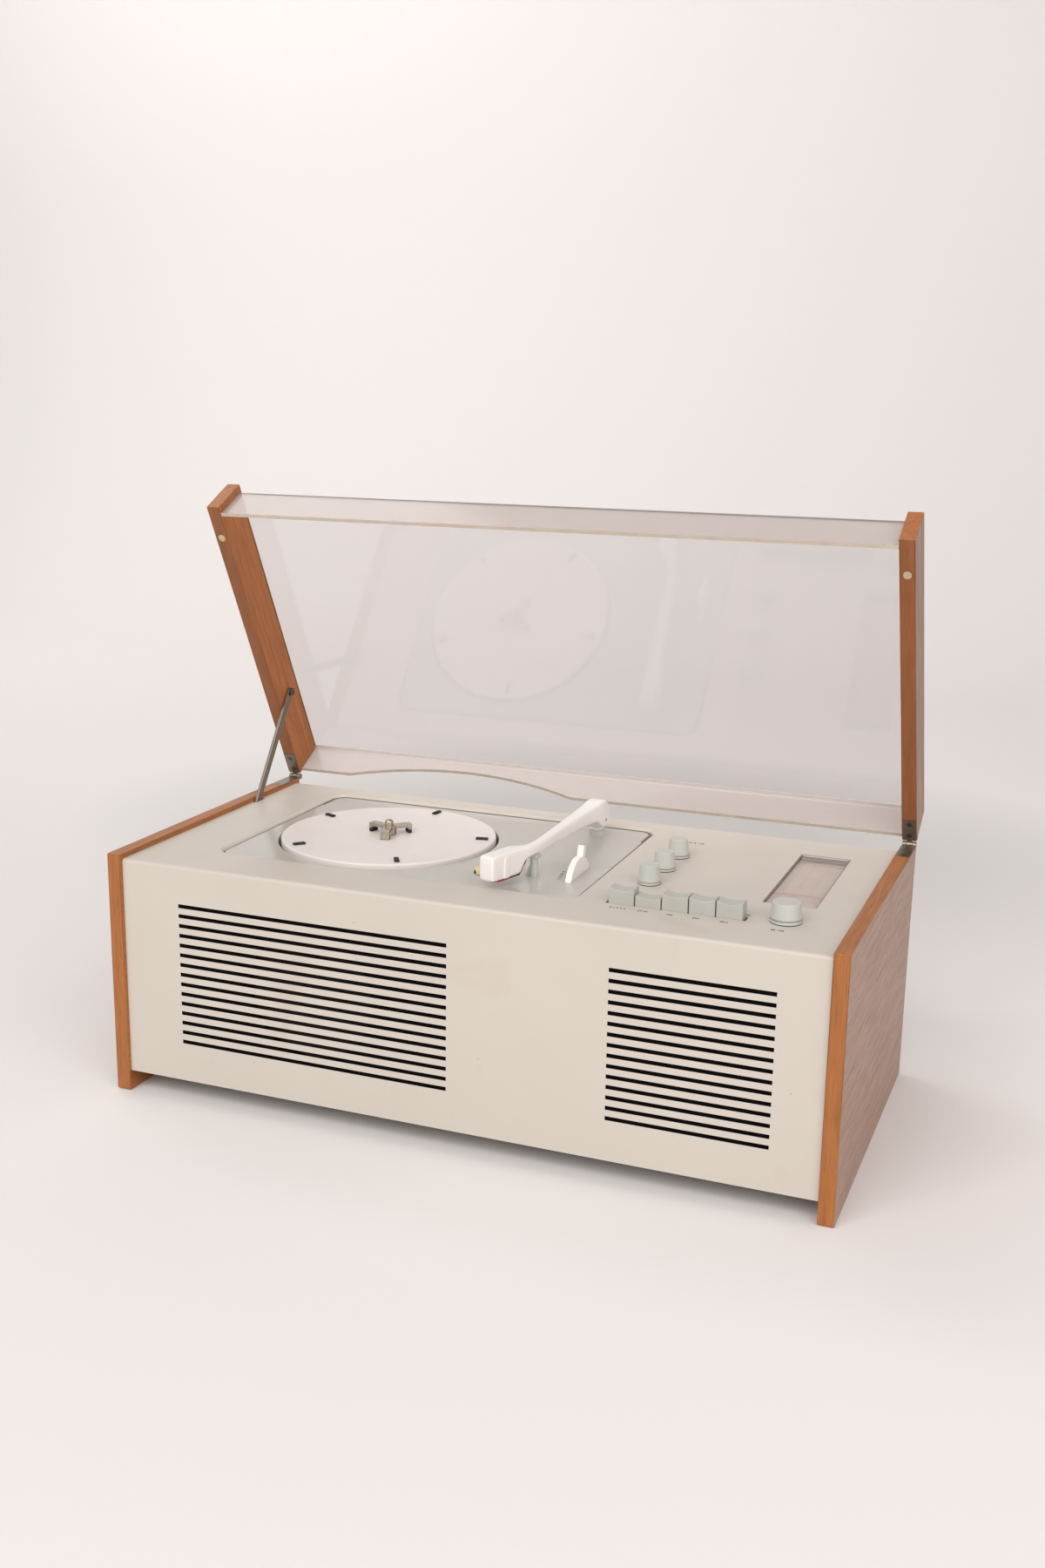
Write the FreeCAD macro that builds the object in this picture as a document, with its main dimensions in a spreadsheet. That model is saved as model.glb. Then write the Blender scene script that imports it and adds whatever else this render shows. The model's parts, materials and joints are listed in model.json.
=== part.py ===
import FreeCAD, Part
import math
import os
import Sketcher

# Radio record player: a folded steel body between two wooden panels, with a hinged clear lid.
# Millimetres. X to the right, Y to the rear, Z up. The origin is on the floor, at the middle of
# the box round the whole object with its lid open.

doc = FreeCAD.newDocument("RadioRecordPlayer")

# Driving dimensions
SIZES = {
    # Cabinet
    "panel_thickness": 12,
    "panel_corner_radius": 2.5,
    "wood_edge_radius": 0.8,
    "sheet_thickness": 1.5,
    "front_recess": 3,
    "rear_recess": 3,
    "top_drop": 4,
    "body_lift": 17,
    "fold_radius": 2.8,
    "base_thickness": 1.2,
    "base_inset": 3,
    "base_flange": 14,
    "cut_margin": 1,
    # Grilles
    "slot_height": 3.2,
    "slot_pitch": 8.05,
    "slot_count": 15,
    "slot_top_drop": 32.2,
    "grille_bottom_margin": 33.1,
    "left_grille_inset": 50,
    "left_grille_width": 228.5,
    "right_grille_inset": 36.7,
    "right_grille_width": 120,
    "backing_thickness": 4,
    "backing_margin": 12,
    # Loudspeaker
    "speaker_radius": 64,
    "speaker_flange": 12,
    "speaker_depth": 38,
    "magnet_radius": 28,
    "magnet_length": 22,
    "speaker_wall": 3,
    "cone_wall": 1.5,
    # Deck opening and plate
    "deck_inset": 56,
    "deck_front_inset": 53.4,
    "deck_rear_inset": 26.6,
    "deck_corner_radius": 12,
    "rim_wall": 4,
    "rim_radius": 3.5,
    "rim_depth": 9,
    "deck_drop": 2,
    "deck_gap": 0.8,
    "deck_thickness": 2,
    "deck_edge_radius": 0.8,
    "tab_length": 22,
    "tab_thickness": 1.5,
    "grommet_radius": 5,
    # Platter and drive
    "platter_radius": 89,
    "platter_left_margin": 15,
    "platter_front_margin": 9,
    "platter_rear_margin": 19.5,
    "arm_side_width": 109.4,
    "platter_rise": 3.3,
    "platter_thickness": 3,
    "platter_skirt": 3,
    "platter_depth": 13,
    "platter_edge_radius": 1.4,
    "hub_radius": 12,
    "hub_depth": 8,
    "well_gap": 2.3,
    "well_wall": 1.5,
    "well_depth": 16,
    "pad_count": 5,
    "pad_ring_radius": 78.6,
    "pad_length": 10,
    "pad_width": 3.9,
    "pad_height": 1.6,
    "pad_start_angle": 12.2,
    "shaft_radius": 4,
    "shaft_length": 34,
    "spindle_radius": 3.55,
    "spindle_rise": 13,
    "spindle_dome": 3,
    "bearing_radius": 8,
    "bearing_gap": 0.5,
    "bearing_floor": 2,
    "running_clearance": 0.05,
    "adapter_radius": 19,
    "adapter_arm_width": 7.4,
    "adapter_thickness": 3,
    "adapter_height": 7.6,
    "adapter_leg": 3,
    "adapter_boss_radius": 6,
    "adapter_angle": -75,
    "adapter_gap": 0.3,
    "idler_radius": 20,
    "idler_thickness": 6,
    "pulley_radius": 4,
    "drive_gap": 0.4,
    "drive_angle": -60,
    "stud_radius": 2,
    "motor_gap": 7.2,
    "motor_length": 42,
    "motor_shaft_depth": 10,
    # Tone arm
    "arm_right_inset": 44.4,
    "arm_rear_inset": 23.9,
    "arm_pivot_rise": 13.2,
    "post_radius": 7,
    "post_height": 4,
    "post_stem_radius": 5.5,
    "post_stem_depth": 10,
    "yoke_width": 9,
    "yoke_depth": 8,
    "yoke_gap": 0.4,
    "yoke_crown": 4,
    "yoke_swing_room": 1.8,
    "pin_radius": 1.5,
    "head_reach": 186,
    "neck_gap": 13.84,
    "head_offset": 24.3,
    "head_angle": 17.9,
    "head_length": 38,
    "head_heel": 3,
    "head_width": 13.6,
    "head_bottom": 6.2,
    "head_top": 13,
    "arm_edge_radius": 1.7,
    "neck_across": -5,
    "neck_half": 3.5,
    "neck_low": 4.8,
    "neck_high": 12.5,
    "cartridge_width": 8,
    "cartridge_length": 30,
    "cartridge_height": 8,
    "cartridge_drop": 1.2,
    "stylus_radius": 0.6,
    "stylus_drop": 0.7,
    "lift_radius": 4.2,
    "lift_length": 10,
    "lift_setback": 6,
    "lift_rise": 4.5,
    "lift_seat": 1,
    "rest_radius": 3,
    "rest_saddle": 8,
    "rest_saddle_height": 3,
    "rest_gap": 0.3,
    # Speed lever
    "lever_right_inset": 19.7,
    "lever_front_inset": 63,
    "lever_drop": 9.4,
    "lever_radius": 23.5,
    "lever_thickness": 5,
    "lever_tab_reach": 32,
    "lever_tab_width": 5.6,
    "lever_tab_angle": 18.6,
    "lever_slot_clearance": 0.6,
    "lever_gap": 0.4,
    "ear_thickness": 1.5,
    "ear_width": 10,
    "ear_below": 4,
    "lever_pin_radius": 2,
    # Keys
    "key_count": 5,
    "key_pitch": 20.15,
    "key_width": 19.3,
    "key_depth": 13,
    "key_rise": 12,
    "key_below": 14,
    "key_travel": 4,
    "key_dish": 1.7,
    "key_lip": 0.8,
    "key_left_margin": 26.85,
    "key_front_inset": 52.9,
    "key_slot_front_gap": 0.4,
    "key_slot_rear_gap": 2.4,
    "key_slot_end_gap": 2.4,
    "stem_width": 8,
    "stem_depth": 5,
    "stem_length": 16,
    "stem_gap": 0.3,
    "key_frame_height": 14,
    "key_frame_margin": 4,
    "key_frame_wall": 2,
    # Knobs
    "knob_left_margin": 39.6,
    "knob_front_inset": 112,
    "knob_spacing": 39.5,
    "knob_count": 3,
    "knob_base_radius": 9.1,
    "knob_top_radius": 7.2,
    "knob_height": 15,
    "knob_flange": 2.2,
    "knob_gap": 0.4,
    "knob_dish": 0.5,
    "knob_shaft_radius": 3,
    "knob_shaft_length": 11,
    "shaft_hole_gap": 0.5,
    "pot_radius": 11,
    "pot_height": 13,
    # Tuning
    "tuning_inset": 46,
    "tuning_key_gap": 28.85,
    "tuning_front_inset": 63.4,
    "tuning_base_radius": 11.9,
    "tuning_top_radius": 10.1,
    "tuning_height": 14.9,
    "tuning_flange": 2.4,
    "tuning_groove": 0.9,
    "tuning_shaft_depth": 8,
    "capacitor_width": 40,
    "capacitor_depth": 54,
    "capacitor_front_reach": 14,
    "capacitor_height": 48,
    # Dial
    "window_inset": 32,
    "window_width": 40,
    "window_front_inset": 101.4,
    "window_length": 138,
    "window_drop": 1.5,
    "pane_thickness": 1.2,
    "pane_lip": 2.5,
    "dial_wall": 2.5,
    "pointer_space": 2,
    "dial_floor": 1.5,
    "pointer_reach": 34.6,
    "pointer_width": 0.7,
    "pointer_gap": 0.3,
    "pointer_foot": 2,
    # Radio inside
    "chassis_inset": 18,
    "chassis_width": 162,
    "chassis_front_inset": 34,
    "chassis_rear_gap": 38,
    "chassis_rise": 90,
    "chassis_wall": 1.2,
    "valve_count": 4,
    "valve_radius": 10,
    "valve_height": 46,
    "valve_spacing": 34,
    "valve_front_inset": 132,
    "valve_inset": 60,
    "transformer_width": 62,
    "transformer_depth": 54,
    "transformer_height": 58,
    "transformer_core": 24,
    "transformer_gap": 18,
    "transformer_rear_inset": 60,
    # Rear connections
    "socket_side_gap": 20.4,
    "socket_panel_height": 34,
    "socket_panel_lift": 26,
    "socket_thickness": 2.5,
    "socket_lip": 5,
    "socket_radius": 2,
    "socket_spacing_share": 0.226,
    "socket_pairs": 3,
    "inlet_gap": 8,
    "inlet_width": 26,
    "inlet_height": 18,
    "inlet_depth": 16,
    "inlet_wall": 2,
    "inlet_pin_radius": 2,
    "inlet_pin_spacing": 10,
    # Lid and hinges
    "hinge_gap": 3.9,
    "lid_gap": 0.5,
    "lid_open_angle": 63,
    "cheek_height": 38.5,
    "cover_thickness": 3,
    "cover_bend_radius": 6,
    "front_lip_inset": 5.7,
    "front_lip_gap": 0.5,
    "rear_lip_lift": 4.2,
    "cutout_half_width": 109,
    "cutout_height": 19,
    "leaf_width": 11,
    "leaf_thickness": 1,
    "fixed_leaf_length": 34,
    "moving_leaf_length": 22,
    "knuckle_radius": 2.6,
    "knuckle_length": 3,
    "knuckle_gap": 0.3,
    "hinge_pin_radius": 1.25,
    "leaf_screw_head": 2.3,
    "leaf_screw_radius": 1.3,
    "leaf_screw_length": 9,
    "leaf_screw_inset": 5,
    "base_screw_head": 3.5,
    "base_screw_head_height": 2,
    "base_screw_radius": 2,
    "base_screw_length": 9,
    "base_screw_inset": 40,
    "screw_clearance": 0.02,
    "buffer_radius": 3.2,
    "buffer_depth": 3,
    "buffer_inset": 30,
    # Lid stay
    "stay_pivot_reach": 85.4,
    "stay_pivot_rise": 19.5,
    "stay_notch_inset": 207.9,
    "stay_width": 7,
    "stay_thickness": 2.4,
    "stay_length": 122,
    "stay_gap": 0.4,
    "stay_screw_radius": 1.6,
    "stay_screw_head": 3.6,
    "stay_screw_head_height": 1.6,
    "stay_screw_length": 8,
    "notch_front": 6.5,
    "notch_rear": 11,
    "notch_side_gap": 0.6,
}

# Sections of the tone arm from its tail to its tube, each measured from the arm's pivot
ARM_FIELDS = ("along", "across", "half", "low", "high")
ARM_SECTIONS = {
    "tail": (9, 0, 5.6, 1, 5.8),
    "hip": (5, 0, 7.2, -1.8, 10),
    "crown": (-4, 0, 7.4, -3.8, 16.8),
    "heel": (-15, 0, 7.4, -5.5, 16.6),
    "tube": (-30, -1.2, 6, 2.5, 15.8),
}
for section, numbers in ARM_SECTIONS.items():
    for field, number in zip(ARM_FIELDS, numbers):
        SIZES[f"{section}_{field}"] = number

# Places worked out from the driving dimensions
PLACES = {
    "deck_width": "Size.platter_left_margin + 2 * Size.platter_radius + Size.arm_side_width",
    "deck_depth": "Size.platter_front_margin + 2 * Size.platter_radius + Size.platter_rear_margin",
    "key_bank_half": "(Size.key_count - 1) / 2 * Size.key_pitch + Size.key_width / 2",
    "control_width": "Size.key_left_margin + 2 * key_bank_half + Size.tuning_key_gap + Size.tuning_inset",
    "inner_x": "(Size.deck_inset + deck_width + control_width) / 2",
    "side_x": "inner_x + Size.panel_thickness",
    "panel_depth": "Size.deck_front_inset + deck_depth + Size.deck_rear_inset",
    "panel_height": "Size.body_lift + Size.grille_bottom_margin + (Size.slot_count - 1) * Size.slot_pitch"
                    " + Size.slot_top_drop + Size.top_drop",
    "hinge_z": "panel_height + Size.lid_gap / 2",
    "cheek_low": "Size.lid_gap / 2",
    "cheek_high": "Size.lid_gap / 2 + Size.cheek_height",
    "rest_depth": "panel_depth + Size.hinge_gap * (1 - cos(Size.lid_open_angle))"
                  " + (Size.lid_gap / 2 + Size.cheek_height) * sin(Size.lid_open_angle)",
    "front_y": "-rest_depth / 2",
    "rear_y": "front_y + panel_depth",
    "hinge_y": "rear_y + Size.hinge_gap",
    "body_front": "front_y + Size.front_recess",
    "body_rear": "rear_y - Size.rear_recess",
    "body_top": "panel_height - Size.top_drop",
    "sheet_under": "body_top - Size.sheet_thickness",
    "inside_front": "body_front + Size.sheet_thickness",
    "inside_rear": "body_rear - Size.sheet_thickness",
    "base_low": "Size.body_lift + Size.base_inset",
    "base_high": "base_low + Size.base_thickness",
    "left_slots": "-inner_x + Size.left_grille_inset",
    "right_slots": "inner_x - Size.right_grille_inset - Size.right_grille_width",
    "rear_left": "left_slots + Size.left_grille_width + Size.socket_side_gap",
    "rear_right": "right_slots - Size.socket_side_gap",
    "socket_x": "(rear_left + rear_right) / 2",
    "socket_width": "rear_right - rear_left",
    "socket_spacing": "socket_width * Size.socket_spacing_share",
    "socket_low": "base_high + Size.socket_panel_lift",
    "inlet_low": "socket_low + Size.socket_panel_height + Size.inlet_gap",
    "slot_top": "body_top - Size.slot_top_drop",
    "slot_bottom": "slot_top - (Size.slot_count - 1) * Size.slot_pitch",
    "backing_rear": "inside_front + Size.backing_thickness",
    "speaker_x": "left_slots + Size.left_grille_width / 2",
    "speaker_z": "(slot_top + slot_bottom) / 2",
    "deck_left": "-inner_x + Size.deck_inset",
    "deck_right": "deck_left + deck_width",
    "deck_front": "front_y + Size.deck_front_inset",
    "deck_rear": "deck_front + deck_depth",
    "deck_top": "body_top - Size.deck_drop",
    "deck_under": "deck_top - Size.deck_thickness",
    "rim_under": "body_top - Size.rim_depth",
    "tab_top": "rim_under + Size.tab_thickness",
    "platter_x": "deck_left + Size.platter_left_margin + Size.platter_radius",
    "platter_y": "deck_front + Size.platter_front_margin + Size.platter_radius",
    "platter_top": "deck_top + Size.platter_rise",
    "rim_inside": "Size.platter_radius - Size.platter_skirt",
    "well_radius": "Size.platter_radius + Size.well_gap",
    "well_floor": "deck_top - Size.well_depth",
    "well_under": "well_floor - Size.well_wall",
    "bearing_top": "platter_top - Size.hub_depth - Size.bearing_gap",
    "idler_reach": "rim_inside - Size.idler_radius - Size.drive_gap",
    "pulley_reach": "idler_reach - Size.idler_radius - Size.pulley_radius - Size.drive_gap",
    "motor_radius": "pulley_reach - Size.bearing_radius - Size.motor_gap",
    "idler_x": "platter_x + idler_reach * cos(Size.drive_angle)",
    "idler_y": "platter_y + idler_reach * sin(Size.drive_angle)",
    "pulley_x": "platter_x + pulley_reach * cos(Size.drive_angle)",
    "pulley_y": "platter_y + pulley_reach * sin(Size.drive_angle)",
    "idler_high": "platter_top - Size.platter_thickness - Size.drive_gap * 5",
    "idler_low": "idler_high - Size.idler_thickness",
    "arm_x": "deck_right - Size.arm_right_inset",
    "arm_y": "deck_rear - Size.arm_rear_inset",
    "arm_z": "deck_top + Size.arm_pivot_rise",
    "post_top": "deck_top + Size.post_height",
    "neck_along": "Size.head_length * cos(Size.head_angle) + Size.neck_gap - Size.head_reach",
    "lever_x": "deck_right - Size.lever_right_inset",
    "lever_y": "deck_front + Size.lever_front_inset",
    "lever_z": "deck_top - Size.lever_drop",
    "key_x": "deck_right + Size.key_left_margin + key_bank_half",
    "key_y": "front_y + Size.key_front_inset",
    "key_top": "body_top + Size.key_rise",
    "key_low": "body_top - Size.key_below",
    "frame_top": "key_low - Size.key_travel - 2 * Size.stem_gap",
    "frame_low": "frame_top - Size.key_frame_height",
    "knob_x": "deck_right + Size.knob_left_margin",
    "knob_y": "front_y + Size.knob_front_inset",
    "tuning_x": "inner_x - Size.tuning_inset",
    "tuning_y": "front_y + Size.tuning_front_inset",
    "chassis_top": "base_high + Size.chassis_rise",
    "chassis_right": "inner_x - Size.chassis_inset",
    "chassis_left": "chassis_right - Size.chassis_width",
    "chassis_front": "front_y + Size.chassis_front_inset",
    "chassis_rear": "inside_rear - Size.chassis_rear_gap",
    "transformer_right": "chassis_left - Size.transformer_gap",
    "transformer_left": "transformer_right - Size.transformer_width",
    "capacitor_top": "chassis_top + Size.capacitor_height",
    "window_right": "inner_x - Size.window_inset",
    "window_left": "window_right - Size.window_width",
    "window_front": "front_y + Size.window_front_inset",
    "window_rear": "window_front + Size.window_length",
    "pane_top": "body_top - Size.window_drop",
    "pane_low": "pane_top - Size.pane_thickness",
    "scale_top": "pane_low - Size.pointer_space",
    "dial_low": "scale_top - Size.dial_floor",
    "pointer_y": "window_front + Size.pointer_reach",
    "cover_front": "-(Size.hinge_gap + panel_depth - Size.front_lip_inset)",
    "cover_rear": "-Size.hinge_gap",
    "cover_in": "cheek_high - Size.cover_thickness",
    "rear_lip_low": "cheek_low + Size.rear_lip_lift",
    "cutout_radius": "(Size.cutout_half_width ^ 2 + Size.cutout_height ^ 2) / (2 * Size.cutout_height)",
    "stay_y": "hinge_y - Size.stay_pivot_reach * cos(Size.lid_open_angle)"
              " + Size.stay_pivot_rise * sin(Size.lid_open_angle)",
    "stay_z": "hinge_z + Size.stay_pivot_reach * sin(Size.lid_open_angle)"
              " + Size.stay_pivot_rise * cos(Size.lid_open_angle)",
    "notch_y": "front_y + Size.stay_notch_inset",
    "stay_lean": "atan2(stay_y - notch_y; stay_z - body_top)",
    "stay_in": "-inner_x + Size.stay_gap",
    "stay_out": "stay_in + Size.stay_thickness",
}


def fill(sheet, cells):
    """Write one named cell per row: the name in column A, its value in column B."""
    for row, (name, text) in enumerate(cells.items(), start=1):
        sheet.set(f"A{row}", name)
        sheet.set(f"B{row}", text)
        sheet.setAlias(f"B{row}", name)


Size = doc.addObject("Spreadsheet::Sheet", "Size")
Place = doc.addObject("Spreadsheet::Sheet", "Place")
fill(Size, {name: str(value) for name, value in SIZES.items()})
fill(Place, {name: "=" + text for name, text in PLACES.items()})
doc.recompute()

NODES = {}
AXIS_TURN = {
    "x": FreeCAD.Rotation(FreeCAD.Vector(0, 1, 0), 90),
    "y": FreeCAD.Rotation(FreeCAD.Vector(1, 0, 0), -90),
    "z": FreeCAD.Rotation(),
}
TURN_ABOUT_X = FreeCAD.Vector(1, 0, 0)
TURN_ABOUT_Z = FreeCAD.Vector(0, 0, 1)


def val(text):
    """The number that an expression gives."""
    result = Size.evalExpression(str(text))
    return float(getattr(result, "Value", result))


def put(item, x, y, z):
    """Bind an object's position to three expressions."""
    for axis, text in zip("xyz", (x, y, z)):
        item.setExpression(f"Placement.Base.{axis}", str(text))
    return item


def turn(item, about, angle):
    """Bind an object's rotation about an axis to an expression, in degrees."""
    item.Placement = FreeCAD.Placement(item.Placement.Base, FreeCAD.Rotation(about, 1))
    item.setExpression("Placement.Rotation.Angle", str(angle))
    return item


def node(label, item):
    """Name a finished sub-part."""
    item.Label = label
    NODES[label] = item
    return item


def block(name, low, high):
    """A box between two corners, each given as three expressions."""
    item = doc.addObject("Part::Box", name)
    for side, near, far in zip(("Length", "Width", "Height"), low, high):
        item.setExpression(side, f"({far}) - ({near})")
    return put(item, *low)


def rod(name, at, radius, length, axis="z"):
    """A cylinder that starts at a point and runs along an axis."""
    item = doc.addObject("Part::Cylinder", name)
    item.Placement = FreeCAD.Placement(FreeCAD.Vector(), AXIS_TURN[axis])
    item.setExpression("Radius", str(radius))
    item.setExpression("Height", str(length))
    return put(item, *at)


def join(name, *items):
    item = doc.addObject("Part::MultiFuse", name)
    item.Shapes = list(items)
    item.Refine = True
    return item


def cut(name, base, *tools):
    item = doc.addObject("Part::Cut", name)
    item.Base = base
    item.Tool = tools[0] if len(tools) == 1 else join(name + "_tools", *tools)
    return item


def group(name, items):
    item = doc.addObject("Part::Compound", name)
    item.Links = list(items)
    return item


def edges_where(item, test):
    """Numbers of the edges of an object that pass a test."""
    doc.recompute()
    return [number for number, edge in enumerate(item.Shape.Edges, start=1) if test(edge)]


def rounded(name, item, radius, test):
    """Round the edges of an object that pass a test."""
    edges = edges_where(item, test)
    result = doc.addObject("Part::Fillet", name)
    result.Base = item
    result.Edges = [(number, val(radius), val(radius)) for number in edges]
    return result


def runs_along(axis):
    """A test for straight edges along one axis."""
    lengths = {"x": "XLength", "y": "YLength", "z": "ZLength"}
    others = [length for name, length in lengths.items() if name != axis]

    def test(edge):
        box = edge.BoundBox
        return all(getattr(box, length) < 1e-6 for length in others)

    return test


def at_height(height, inside=None):
    """A test for edges that lie flat at one height, within a half-size square if one is given."""
    level = val(height)

    def test(edge):
        box = edge.BoundBox
        flat = abs(box.ZMin - level) < 1e-6 and abs(box.ZMax - level) < 1e-6
        return flat and (inside is None or inside(box))

    return test


def rounded_block(name, low, high, radius):
    """A box with its four upright edges rounded."""
    return rounded(name, block(name + "_block", low, high), radius, runs_along("z"))


def body_sketch(body, plane_role, points):
    """A closed outline of straight lines, each corner held by two named distances."""
    plane = [item for item in body.Origin.OriginFeatures if item.Role == plane_role][0]
    sketch = body.newObject("Sketcher::SketchObject", body.Name + "_outline")
    sketch.AttachmentSupport = (plane, [""])
    sketch.MapMode = "FlatFace"
    corners = [FreeCAD.Vector(val(across), val(up), 0) for across, up in points]
    count = len(corners)
    for start in range(count):
        sketch.addGeometry(Part.LineSegment(corners[start], corners[(start + 1) % count]))
    for start in range(count):
        sketch.addConstraint(Sketcher.Constraint("Coincident", start, 2, (start + 1) % count, 1))
    for start, texts in enumerate(points):
        for way, text in zip("XY", texts):
            held = Sketcher.Constraint("Distance" + way, -1, 1, start, 1, val(text))
            sketch.renameConstraint(sketch.addConstraint(held), f"corner{start}{way}")
            sketch.setExpression(f"Constraints.corner{start}{way}", str(text))
    return sketch


def padded(name, plane_role, points, length):
    """A body whose outline is pushed out to a length."""
    body = doc.addObject("PartDesign::Body", name)
    pad = body.newObject("PartDesign::Pad", name + "_pad")
    pad.Profile = body_sketch(body, plane_role, points)
    pad.setExpression("Length", str(length))
    doc.recompute()
    return body


def turned(name, points):
    """A body turned about its own Z axis from an outline of radius and height."""
    body = doc.addObject("PartDesign::Body", name)
    revolution = body.newObject("PartDesign::Revolution", name + "_turn")
    sketch = body_sketch(body, "XZ_Plane", points)
    revolution.Profile = sketch
    revolution.ReferenceAxis = (sketch, ["V_Axis"])
    revolution.Angle = 360
    doc.recompute()
    return body


def soften(body, radius, test):
    """Round edges of a body that pass a test, as the body's next feature."""
    last = body.Tip
    names = [f"Edge{number}" for number in edges_where(body, test)]
    fillet = body.newObject("PartDesign::Fillet", body.Name + "_round")
    fillet.Base = (last, names)
    fillet.setExpression("Radius", str(radius))
    doc.recompute()
    return body


def hang_on_lid(item):
    """Carry a piece that is drawn with the lid closed and the hinge axis at the origin."""
    put(item, "0", "Place.hinge_y", "Place.hinge_z")
    return turn(item, TURN_ABOUT_X, "-Size.lid_open_angle")


# Side panels, with the bed of the fixed hinge leaf and the screw holes
def leaf_span(side):
    """Low and high X of a hinge leaf, centred in the panel on one side."""
    middle = f"{side} * (Place.side_x + Place.inner_x) / 2"
    return f"{middle} - Size.leaf_width / 2", f"{middle} + Size.leaf_width / 2"


def leaf_screw_places(length):
    """Distances of a leaf's two screws from the panel's rear edge."""
    return ["Size.leaf_screw_inset", f"Size.{length} - Size.leaf_screw_inset"]


def base_screw_places():
    return ["Place.front_y + Size.base_screw_inset", "Place.rear_y - Size.base_screw_inset"]


def base_screw_z():
    return "Place.base_high + Size.base_flange / 2"


def side_panel(label, side):
    outline = [
        ("Place.front_y", "0"),
        ("Place.front_y", "Place.panel_height"),
        ("Place.rear_y", "Place.panel_height"),
        ("Place.rear_y", "0"),
    ]
    panel = padded(label + "_board", "YZ_Plane", outline, "Size.panel_thickness")
    low_x = "Place.inner_x" if side > 0 else "-Place.side_x"
    put(panel, low_x, "0", "0")
    soften(panel, "Size.panel_corner_radius", bottom_corner)
    soften(panel, "Size.wood_edge_radius", long_edge)
    left, right = leaf_span(side)
    bed = block(label + "_bed", (left, "Place.rear_y - Size.fixed_leaf_length",
                                 "Place.panel_height - Size.leaf_thickness"),
                (right, "Place.rear_y + Size.cut_margin", "Place.panel_height + Size.cut_margin"))
    tools = [bed]
    middle = f"{side} * (Place.side_x + Place.inner_x) / 2"
    for number, inset in enumerate(leaf_screw_places("fixed_leaf_length")):
        low = "Place.panel_height - Size.leaf_thickness - Size.leaf_screw_length"
        tools.append(rod(f"{label}_leaf_hole{number}", (middle, f"Place.rear_y - ({inset})", low),
                         "Size.leaf_screw_radius + Size.screw_clearance",
                         "Size.leaf_screw_length + Size.cut_margin / 2"))
    for number, place in enumerate(base_screw_places()):
        start = "Place.inner_x" if side > 0 else "-Place.inner_x - Size.base_screw_length"
        tools.append(rod(f"{label}_base_hole{number}", (start, place, base_screw_z()),
                         "Size.base_screw_radius + Size.screw_clearance", "Size.base_screw_length", "x"))
    return node(label, cut(label + "_cut", panel, *tools))


def bottom_corner(edge):
    box = edge.BoundBox
    return box.ZMax < 1e-6 and box.YLength < 1e-6


def long_edge(edge):
    """Edges of the two broad faces of a board."""
    return edge.BoundBox.XLength < 1e-6


side_panel("left_side_panel", -1)
side_panel("right_side_panel", 1)

# Body: one folded sheet with the deck opening, slots and holes
FOLD = [
    ("Place.body_front", "Size.body_lift"),
    ("Place.body_front", "Place.body_top"),
    ("Place.body_rear", "Place.body_top"),
    ("Place.body_rear", "Size.body_lift"),
    ("Place.inside_rear", "Size.body_lift"),
    ("Place.inside_rear", "Place.sheet_under"),
    ("Place.inside_front", "Place.sheet_under"),
    ("Place.inside_front", "Size.body_lift"),
]


def folded_sheet(name, outline, low_x, length, outer_radius, thickness):
    """A sheet folded twice, with its four fold lines rounded outside and inside."""
    sheet = padded(name, "YZ_Plane", outline, length)
    tops = sorted({round(val(up), 6) for across, up in outline})
    outer, inner = tops[-1], tops[-2]
    along_x = runs_along("x")
    soften(sheet, outer_radius, lambda edge: along_x(edge) and abs(edge.BoundBox.ZMin - outer) < 1e-5)
    soften(sheet, f"{outer_radius} - {thickness}",
           lambda edge: along_x(edge) and abs(edge.BoundBox.ZMin - inner) < 1e-5
           and inner_corner(edge, outline))
    return put(sheet, low_x, "0", "0")


def inner_corner(edge, outline):
    """True on the two fold lines inside the sheet."""
    places = [val(outline[number][0]) for number in (5, 6)]
    return any(abs(edge.BoundBox.YMin - place) < 1e-5 for place in places)


def grille_slots():
    """One box per slot, long enough to cut the front and the rear of the body alike."""
    banks = {"left": ("Place.left_slots", "Size.left_grille_width"),
             "right": ("Place.right_slots", "Size.right_grille_width")}
    slots = []
    for bank, (start, width) in banks.items():
        for row in range(int(Size.slot_count)):
            middle = f"Place.slot_top - {row} * Size.slot_pitch"
            low = (start, "Place.body_front - Size.cut_margin", f"{middle} - Size.slot_height / 2")
            high = (f"{start} + {width}", "Place.body_rear + Size.cut_margin",
                    f"{middle} + Size.slot_height / 2")
            slots.append(block(f"slot_{bank}{row}", low, high))
    return slots


def deck_box(name, spread, low, high):
    """The deck opening's outline, spread outwards by an amount, between two heights."""
    return rounded_block(name, (f"Place.deck_left - ({spread})", f"Place.deck_front - ({spread})", low),
                         (f"Place.deck_right + ({spread})", f"Place.deck_rear + ({spread})", high),
                         f"Size.deck_corner_radius + ({spread})")


def deck_tabs():
    """Four corner tabs of the rim that carry the deck's rubber mounts."""
    tabs = []
    overlap = "Size.rim_wall / 2"
    for across, (x_low, x_high) in {
            "left": (f"Place.deck_left - {overlap}", "Place.deck_left + Size.tab_length"),
            "right": ("Place.deck_right - Size.tab_length", f"Place.deck_right + {overlap}")}.items():
        for along, (y_low, y_high) in {
                "front": (f"Place.deck_front - {overlap}", "Place.deck_front + Size.tab_length"),
                "rear": ("Place.deck_rear - Size.tab_length", f"Place.deck_rear + {overlap}")}.items():
            tabs.append(block(f"tab_{across}_{along}", (x_low, y_low, "Place.rim_under"),
                              (x_high, y_high, "Place.tab_top")))
    return tabs


def knob_places():
    return [f"Place.knob_y + {number} * Size.knob_spacing" for number in range(int(Size.knob_count))]


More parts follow.
